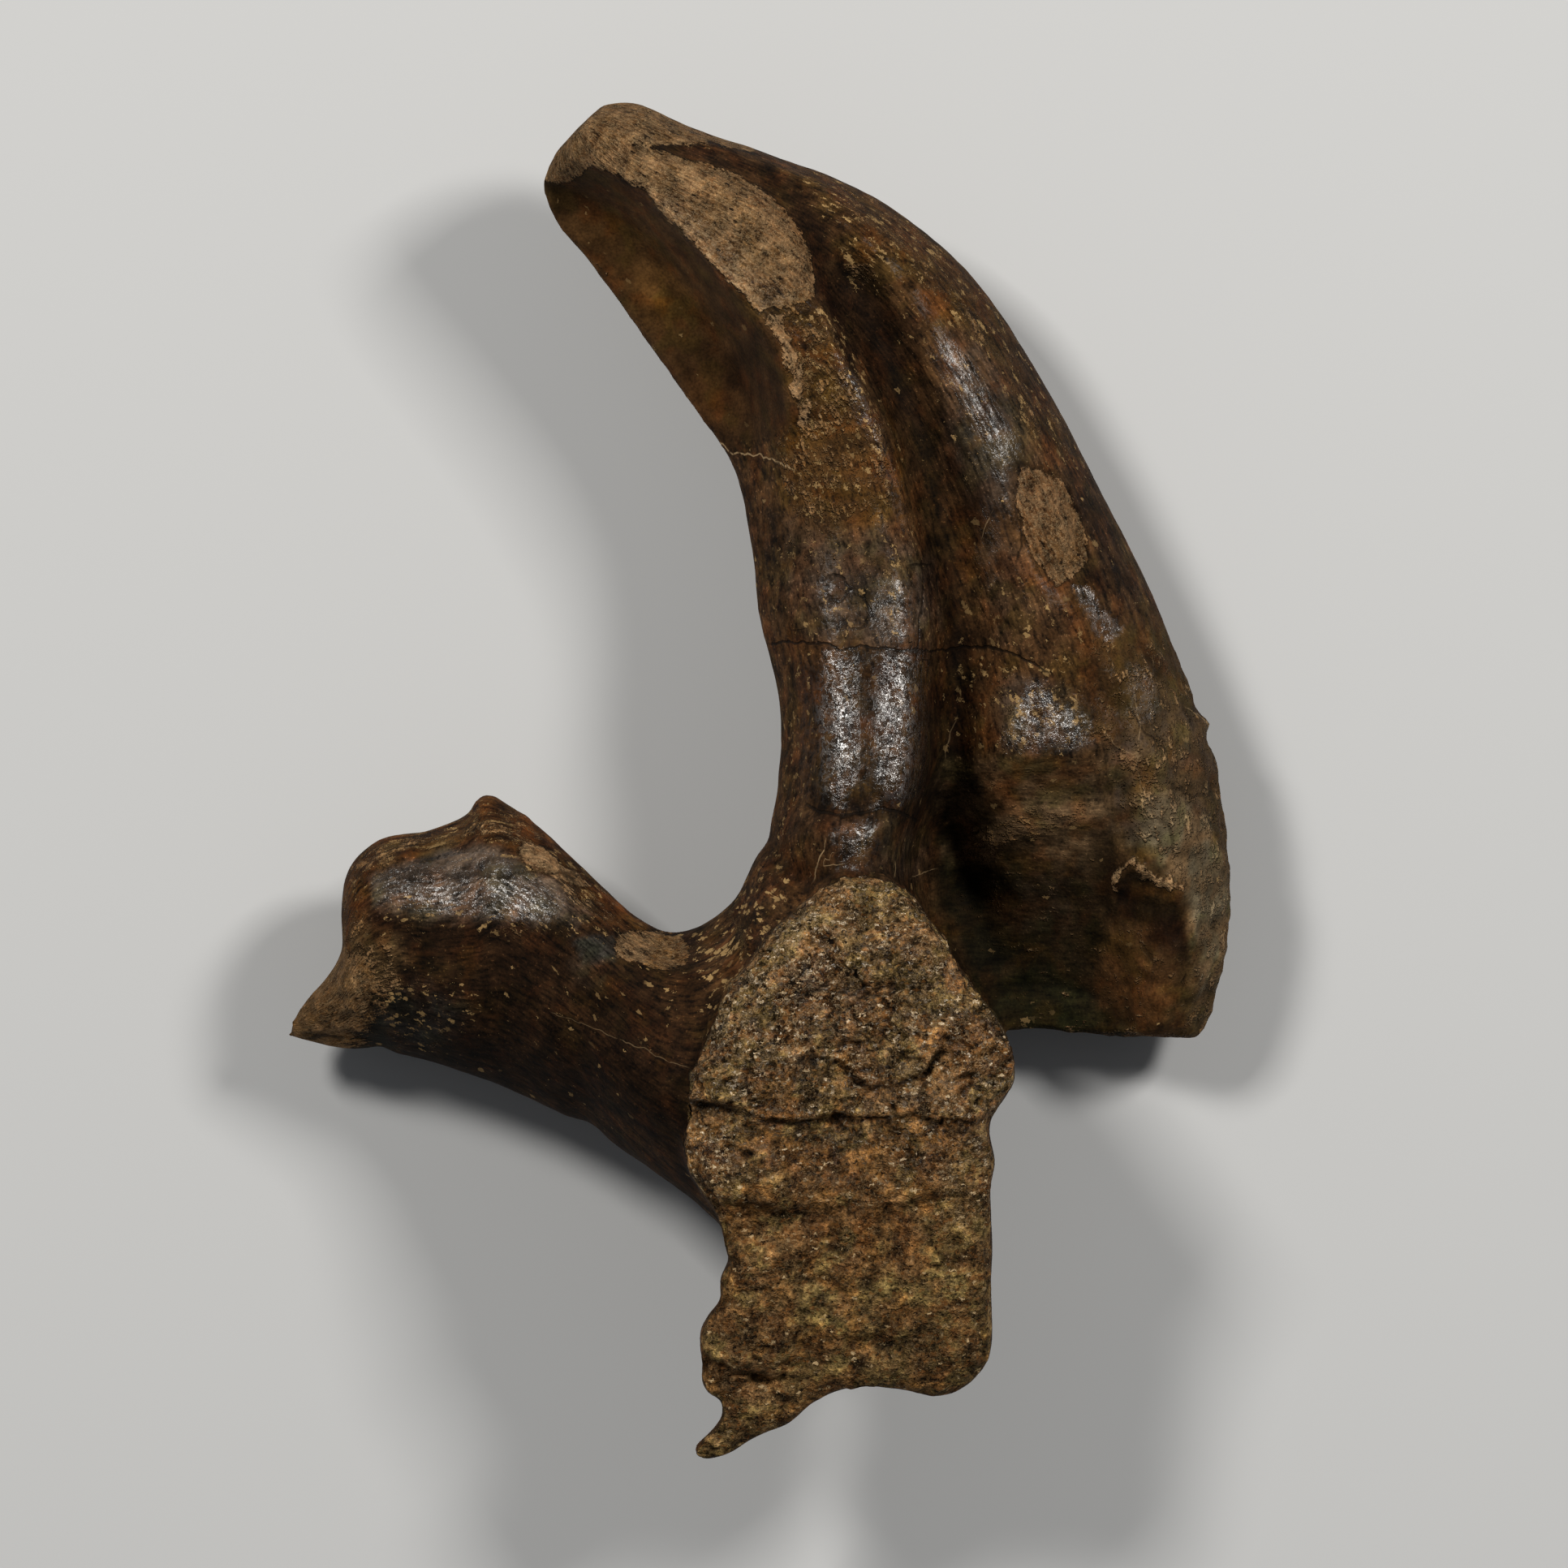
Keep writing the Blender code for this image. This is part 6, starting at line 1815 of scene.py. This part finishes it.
@dataclass(frozen=True)
class Marks:
    """What is stored at the finished skin's points for the finish to read."""

    whole: float = -0.6
    broken_reach: float = 0.52
    little: Wavering = Wavering(0.35, 1.6, 1)
    wander: Wavering = Wavering(0.9, 4.0, 3, (71, 81))
    brown_clouds: Lumps = Lumps(1.0, 16.0, 3, 91)
    tan_clouds: Clouds = Clouds(0.4, 11.0, 3, 95, 0.35, 0.8)
    green_clouds: Clouds = Clouds(0.40, 6.0, 4, 101, 0.05, 0.5)
    red_clouds: Clouds = Clouds(0.45, 5.0, 4, 103, 0.05, 0.5)
    green: Colour = (0.72, 0.98, 0.50)
    red: Colour = (1.45, 0.95, 0.60)
    ground_blotches: Blotches = Blotches(1.0, Lumps(0.50, 3.2, 3, 109), 0.5, 1.8)
    rough_blotches: Blotches = Blotches(1.28, Lumps(1.15, 3.0, 4, 111), 0.30, 2.2)
    fleck_blotches: Blotches = Blotches(0.80, Lumps(0.75, 3.5, 3, 107), 0.2, 1.0)
    chip_blotches: Blotches = Blotches(0.85, Lumps(0.6, 3.6, 3, 113), 0.2, 1.3)

    def store(self, mesh: bpy.types.Mesh, points: Array, normals: Array, hollow: Array) -> None:
        """Stores the marks: the fibres' flow, the places' depths, the tints, the cracks and the specks.

        Args:
            mesh: The mesh that takes them.
            points: Its points, in millimetres.
            normals: Their normals.
            hollow: How sunk each point is, from 0 on a crest to 1 in a hollow.
        """
        little = self.little.push(points)
        wander = self.wander.push(points)
        up = eased(normals[:, 2], -0.35, 0.15)
        in_canal = covered(wander, (CANAL,), 2.0) * up
        leftward = -(points[:, 0] + 4.0) - 0.4 * (points[:, 1] + 20.0)
        on_side = np.maximum(eased(leftward, -6.0, 6.0) * eased(-points[:, 1], 8.0, 20.0), in_canal)
        suture_depth = np.minimum(depth_inside(little, SUTURE_OUTLINE), 6.0 * (normals[:, 2] - 0.12))
        lower = eased(-points[:, 1], 49.0, 66.0)
        dark_near, dark_strength = nearness_to_cracks(little, pale=False)
        pale_near, pale_strength = nearness_to_cracks(little, pale=True)
        smooth = covered(wander, (JOINT_FACE,), 1.0) + 0.65 * covered(wander, (WING,), 3.0)
        flecked = strongest(wander, FLECKED_PLACES) * up * self.fleck_blotches.at(points) - smooth * up
        gravel = strongest(wander, CHIP_PLACES) * self.chip_blotches.at(points)
        streaky = covered(wander, (STREAKY_FLANK,), 3.0)
        worn_tint, suture_tint = self.bare_tints(points, wander)
        marks = {
            "flow_horn": HORN_AND_ROOF.flow(points),
            "flow_side": np.where(points[:, :1] > 15.0, points, SIDE_PROCESS.flow(points)),
            "edges": (suture_depth, self.rubbed(normals, little, wander, up), on_side),
            "marks": (flecked - 0.45 * in_canal, strongest(little, SHINY_PLACES) * up, hollow),
            "crowds": (strongest(wander, PETAL_PLACES) * up, gravel, streaky),
            "dark_cracks": (dark_near, dark_strength * up, lower),
            "pale_cracks": (pale_near, pale_strength * up, 1.0 - covered(wander, DULL_PLACES, 1.5) * up),
            "ground_tint": self.ground_tint(points, wander, up),
            "worn_tint": worn_tint,
            "suture_tint": suture_tint,
        }
        for name, given in marks.items():
            rows = np.column_stack(given) if isinstance(given, tuple) else given
            mesh.attributes.new(name, "FLOAT_VECTOR", "POINT").data.foreach_set(
                "vector", rows.astype(np.float32).ravel())

    def rubbed(self, normals: Array, little: Array, wander: Array, up: Array) -> Array:
        """Works out how far the outer bone is rubbed off.

        Args:
            normals: The points' normals.
            little: The points, pushed about a little.
            wander: The points, pushed about further.
            up: 1 where a point faces up and 0 where it faces down.

        Returns:
            Its level: below zero the outer bone is whole, and above zero it is gone.
        """
        level = np.full(len(normals), self.whole)
        turned_away = 1.2 * (1.0 - eased(normals[:, 2], -0.3, 0.1))
        for outline in (*BARE_PLACES, RIM_CHIPS):
            reach = np.clip(depth_inside(little, outline) * 0.8, self.whole, -self.whole)
            level = np.maximum(level, reach - turned_away)
        for place in RUBBED_PLACES:
            cover = place.cover(wander) * (up if place.upper else 1.0 - up)
            level = np.maximum(level, self.whole + (place.strength - self.whole) * cover)
        return np.maximum(level, self.whole + self.broken_reach * covered(wander, BROKEN_EDGES, 0.8))

    def ground_tint(self, points: Array, wander: Array, up: Array) -> Array:
        """Tints the whole bone: browns in clouds, the stains, and then a green and a red cast and blotches.

        Args:
            points: Where, one row a point.
            wander: The points, pushed about for the stains' edges.
            up: 1 where a point faces up and 0 where it faces down.

        Returns:
            The colours, one row a point.
        """
        ground = np.tile(np.array(Tint.UMBER.value), (len(points), 1))
        clouds = self.brown_clouds.at(points)
        lay(ground, Tint.CHESTNUT, eased(clouds, 0.0, 0.7))
        lay(ground, Tint.DARK_UMBER, eased(-clouds, 0.0, 0.7))
        lay(ground, Tint.TAN, self.tan_clouds.at(points) * (1.0 - up))
        ground = tinted(ground, wander, up, STAINS)
        cast = 1.0
        for clouds, tint in ((self.green_clouds, self.green), (self.red_clouds, self.red)):
            cast = cast + clouds.at(points)[:, None] * (np.array(tint) - 1.0)
        return ground * cast * self.ground_blotches.at(points)[:, None]

    def bare_tints(self, points: Array, wander: Array) -> tuple[Array, Array]:
        """Tints the worn bone and the rough face: sand, the stains, and clouds of other tints.

        Args:
            points: Where, one row a point.
            wander: The points, pushed about for the stains' edges.

        Returns:
            The worn bone's and the rough face's colours.
        """
        made = []
        for stains, variety in ((WORN_STAINS, WORN_VARIETY), (SUTURE_STAINS, SUTURE_VARIETY)):
            sand = np.tile(np.array(Tint.SAND.value) * 0.8, (len(points), 1))
            bare = tinted(sand, wander, np.ones(len(points)), stains)
            for number, (tint, share, size) in enumerate(variety):
                lay(bare, tint, Clouds(share, size, 4, 121 + 9 * number, 0.0, 0.26).at(points))
            made.append(bare)
        worn, rough = made
        return worn, rough * self.rough_blotches.at(points)[:, None]


@dataclass
class Bone:
    """The whole fossil, as one mesh that stands for the CAD solid."""

    lobes: tuple[Any, ...] = (HORN_AND_ROOF, SIDE_PROCESS, Pedicle())
    voxel: float = 0.91
    soften_share: float = 0.5
    soften_passes: int = 7
    relax_passes: int = 24
    foot_depth: float = 0.8
    spare: float = 0.9995
    relief: Relief = Relief()
    marks: Marks = Marks()
    finish: FossilFinish = FossilFinish()

    def build(self) -> bpy.types.Object:
        """Builds and dresses the bone.

        Returns:
            The finished object, in metres, at the origin.
        """
        bone = self.grown()
        log.info("lobes grown together: %d points", len(bone.data.vertices))
        self.relaxed(bone)
        self.refined(bone)
        points = self.relief.pressed(*self.measured(bone))
        self.fitted(bone, points)
        log.info("relief pressed in: %d points", len(points))
        _, normals = self.measured(bone)
        hollow = np.clip(0.5 + 0.7 * self.hollowness(bone.data, points, normals), 0.0, 1.0)
        self.marks.store(bone.data, points, normals, hollow)
        bone.data.materials.clear()
        bone.data.materials.append(self.finish.material())
        bone.data.shade_smooth()
        return bone

    def grown(self) -> bpy.types.Object:
        """Joins the lobes, remeshes them as one skin, and softens where they meet."""
        parts = [lobe.build() for lobe in self.lobes]
        bpy.ops.object.select_all(action="DESELECT")
        for part in parts:
            part.select_set(True)
        bpy.context.view_layer.objects.active = parts[0]
        bpy.ops.object.join()
        bone = bpy.context.view_layer.objects.active
        bone.name = "fossil_bone"
        skin = bone.modifiers.new("skin", "REMESH")
        skin.mode = "VOXEL"
        skin.voxel_size = self.voxel
        soften = bone.modifiers.new("soften", "SMOOTH")
        soften.factor = self.soften_share
        soften.iterations = self.soften_passes
        mesh = bpy.data.meshes.new_from_object(bone.evaluated_get(bpy.context.evaluated_depsgraph_get()))
        bone.modifiers.clear()
        bone.data = mesh
        return bone

    def relaxed(self, bone: bpy.types.Object) -> None:
        """Smooths the skin further along the soft places, moving points towards their neighbours' average."""
        points, _ = self.measured(bone)
        share = np.max([
            eased(radius - distance_to_line(points, line), 0.0, radius * 0.6)
            for line, radius in SOFT_PLACES], axis=0)[:, None]
        for _ in range(self.relax_passes):
            points = points + 0.5 * share * (self.neighbours_average(bone.data, points) - points)
        bone.data.vertices.foreach_set("co", points.astype(np.float32).ravel())
        bone.data.update()

    @staticmethod
    def neighbours_average(mesh: bpy.types.Mesh, points: Array) -> Array:
        """Averages, for each point, the points at the other ends of its edges."""
        ends = np.empty(len(mesh.edges) * 2, np.int32)
        mesh.edges.foreach_get("vertices", ends)
        first, second = ends.reshape(-1, 2).T
        count = np.bincount(ends, minlength=len(points))[:, None]
        total = np.column_stack([
            np.bincount(first, across[second], len(points)) + np.bincount(second, across[first], len(points))
            for across in points.T])
        return total / count

    def refined(self, bone: bpy.types.Object) -> None:
        """Halves the faces of the rough face, which needs the finest relief."""
        points, normals = self.measured(bone)
        rough = (depth_inside(points, SUTURE_OUTLINE) > -0.6) & (normals[:, 2] > 0.1)
        body = bmesh.new()
        body.from_mesh(bone.data)
        body.verts.ensure_lookup_table()
        chosen = {vert for vert, wanted in zip(body.verts, rough) if wanted}
        edges = [edge for edge in body.edges if edge.verts[0] in chosen and edge.verts[1] in chosen]
        bmesh.ops.subdivide_edges(body, edges=edges, cuts=1, use_grid_fill=True, smooth=0.0)
        bmesh.ops.triangulate(body, faces=[face for face in body.faces if len(face.verts) > 4])
        body.to_mesh(bone.data)
        body.free()

    @staticmethod
    def measured(bone: bpy.types.Object) -> tuple[Array, Array]:
        """Reads the mesh's points and their normals into arrays."""
        mesh = bone.data
        points = np.empty(len(mesh.vertices) * 3)
        mesh.vertices.foreach_get("co", points)
        normals = np.empty(len(mesh.vertices) * 3, np.float32)
        mesh.vertex_normals.foreach_get("vector", normals)
        return points.reshape(-1, 3), normals.reshape(-1, 3).astype(float)

    def fitted(self, bone: bpy.types.Object, points: Array) -> None:
        """Sets the points into the CAD solid's box, in metres.

        They are stretched a hair in plan, to just within the box, and cut flat at the ground.

        Args:
            bone: The object whose mesh takes the points.
            points: The points in millimetres; they are changed in place, into the CAD's own frame.
        """
        low, high = (np.array(corner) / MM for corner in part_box(PART))
        own_low = points.min(axis=0)
        own_high = points.max(axis=0)
        grow = (high - low)[:2] / (own_high - own_low)[:2]
        from_middle = points[:, :2] - (own_low + own_high)[:2] / 2.0
        points[:, :2] = from_middle * grow * self.spare + (low + high)[:2] / 2.0
        points[:, 2] = np.clip(points[:, 2] - own_low[2] - self.foot_depth, 0.0, high[2])
        bone.data.vertices.foreach_set("co", (points * MM).astype(np.float32).ravel())
        bone.data.update()

    def hollowness(self, mesh: bpy.types.Mesh, points: Array, normals: Array) -> Array:
        """Measures how sunk each point is.

        The points are averaged with their neighbours 3 and then 11 times over, and the way from a point to
        its average, along its normal, is how sunk it is.

        Args:
            mesh: The mesh, for its edges.
            points: Its points, in millimetres.
            normals: Their normals.

        Returns:
            Millimetres, above zero in a hollow and below it on a crest.
        """
        average = points
        sunk = np.zeros(len(points))
        for passes in (3, 11):
            for _ in range(passes):
                average = 0.5 * average + 0.5 * self.neighbours_average(mesh, average)
            sunk += ((average - points) * normals).sum(axis=1)
        return sunk


# The studio.


@dataclass
class Studio:
    """A plain pale floor, plain soft light, and the camera straight above."""

    photo_side: int = 1932
    mm_per_pixel: float = 0.12
    centre_x: float = 3.6
    centre_y: float = -0.66
    focus_height: float = 30.0
    camera_distance: float = 3000.0
    sensor: float = 36.0
    floor_half: float = 6.0
    card: Colour = (0.585, 0.595, 0.605)
    lamp_side: float = 0.24
    lamp_power: float = 9.0
    lamp_colour: Colour = (1.0, 0.965, 0.91)
    left_lamp: tuple[float, float, float] = (-0.52, 0.50, 1.00)
    right_lamp: tuple[float, float, float] = (0.66, 0.48, 0.95)
    room_colour: Colour = (0.92, 0.96, 1.0)
    room_strength: float = 0.11

    def camera(self) -> bpy.types.Object:
        """Sets up the camera.

        It looks straight down with the horn's tip towards the top. The lens is such that the photograph's
        width just fills the sensor at the bone's middle height: sensor times distance over width.

        Returns:
            The camera, made the scene's own.
        """
        view = bpy.data.cameras.new("camera")
        view.sensor_width = self.sensor
        view.lens = self.sensor * self.camera_distance / (self.photo_side * self.mm_per_pixel)
        view.clip_end = 50.0
        made = bpy.data.objects.new("camera", view)
        height = self.focus_height + self.camera_distance
        made.location = (self.centre_x * MM, self.centre_y * MM, height * MM)
        bpy.context.scene.collection.objects.link(made)
        bpy.context.scene.camera = made
        return made

    def light(self, name: str, place: tuple[float, float, float]) -> bpy.types.Object:
        """Hangs a soft square light that faces the bone.

        Args:
            name: Its name.
            place: Where it hangs, in metres.

        Returns:
            The light.
        """
        lamp = bpy.data.lights.new(name, "AREA")
        lamp.shape = "SQUARE"
        lamp.size = self.lamp_side
        lamp.energy = self.lamp_power
        lamp.color = self.lamp_colour
        made = bpy.data.objects.new(name, lamp)
        made.location = place
        made.rotation_mode = "QUATERNION"
        made.rotation_quaternion = (-Vector(place)).to_track_quat("-Z", "Y")
        bpy.context.scene.collection.objects.link(made)
        return made

    def floor(self) -> bpy.types.Object:
        """Lays the floor: a flat sheet, z = 0 for every point, of pale matt card."""
        half = self.floor_half
        mesh = bpy.data.meshes.new("floor")
        corners = [(-half, -half, 0), (half, -half, 0), (half, half, 0), (-half, half, 0)]
        mesh.from_pydata(corners, [], [(0, 1, 2, 3)])
        made = bpy.data.objects.new("floor", mesh)
        bpy.context.scene.collection.objects.link(made)
        dye = Dye("pale_card")
        surface = dye.node("ShaderNodeBsdfPrincipled", None, {
            "Base Color": (*self.card, 1.0), "Roughness": 0.9, "Specular IOR Level": 0.2})
        dye.node("ShaderNodeOutputMaterial", None, {"Surface": surface.outputs[0]})
        mesh.materials.append(dye.material)
        return made

    def build(self) -> None:
        """Sets up the whole studio."""
        scene = bpy.context.scene
        scene.view_settings.view_transform = "Standard"
        world = bpy.data.worlds.new("soft_room")
        scene.world = world
        world.use_nodes = True
        room = world.node_tree.nodes["Background"]
        room.inputs["Color"].default_value = (*self.room_colour, 1.0)
        room.inputs["Strength"].default_value = self.room_strength
        self.floor()
        self.light("left_light", self.left_lamp)
        self.light("right_light", self.right_lamp)
        self.camera()


def main() -> None:
    """Builds the studio and the bone, and says what stands for what."""
    logging.basicConfig(level=logging.INFO, format="%(name)s: %(message)s")
    Studio().build()
    log.info("studio set up")
    bone = Bone().build()
    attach(bone, BODY)
    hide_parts(PART)
    bone.data.calc_loop_triangles()
    log.info("%s: %d triangles", bone.name, len(bone.data.loop_triangles))


if __name__ == "__main__":
    main()
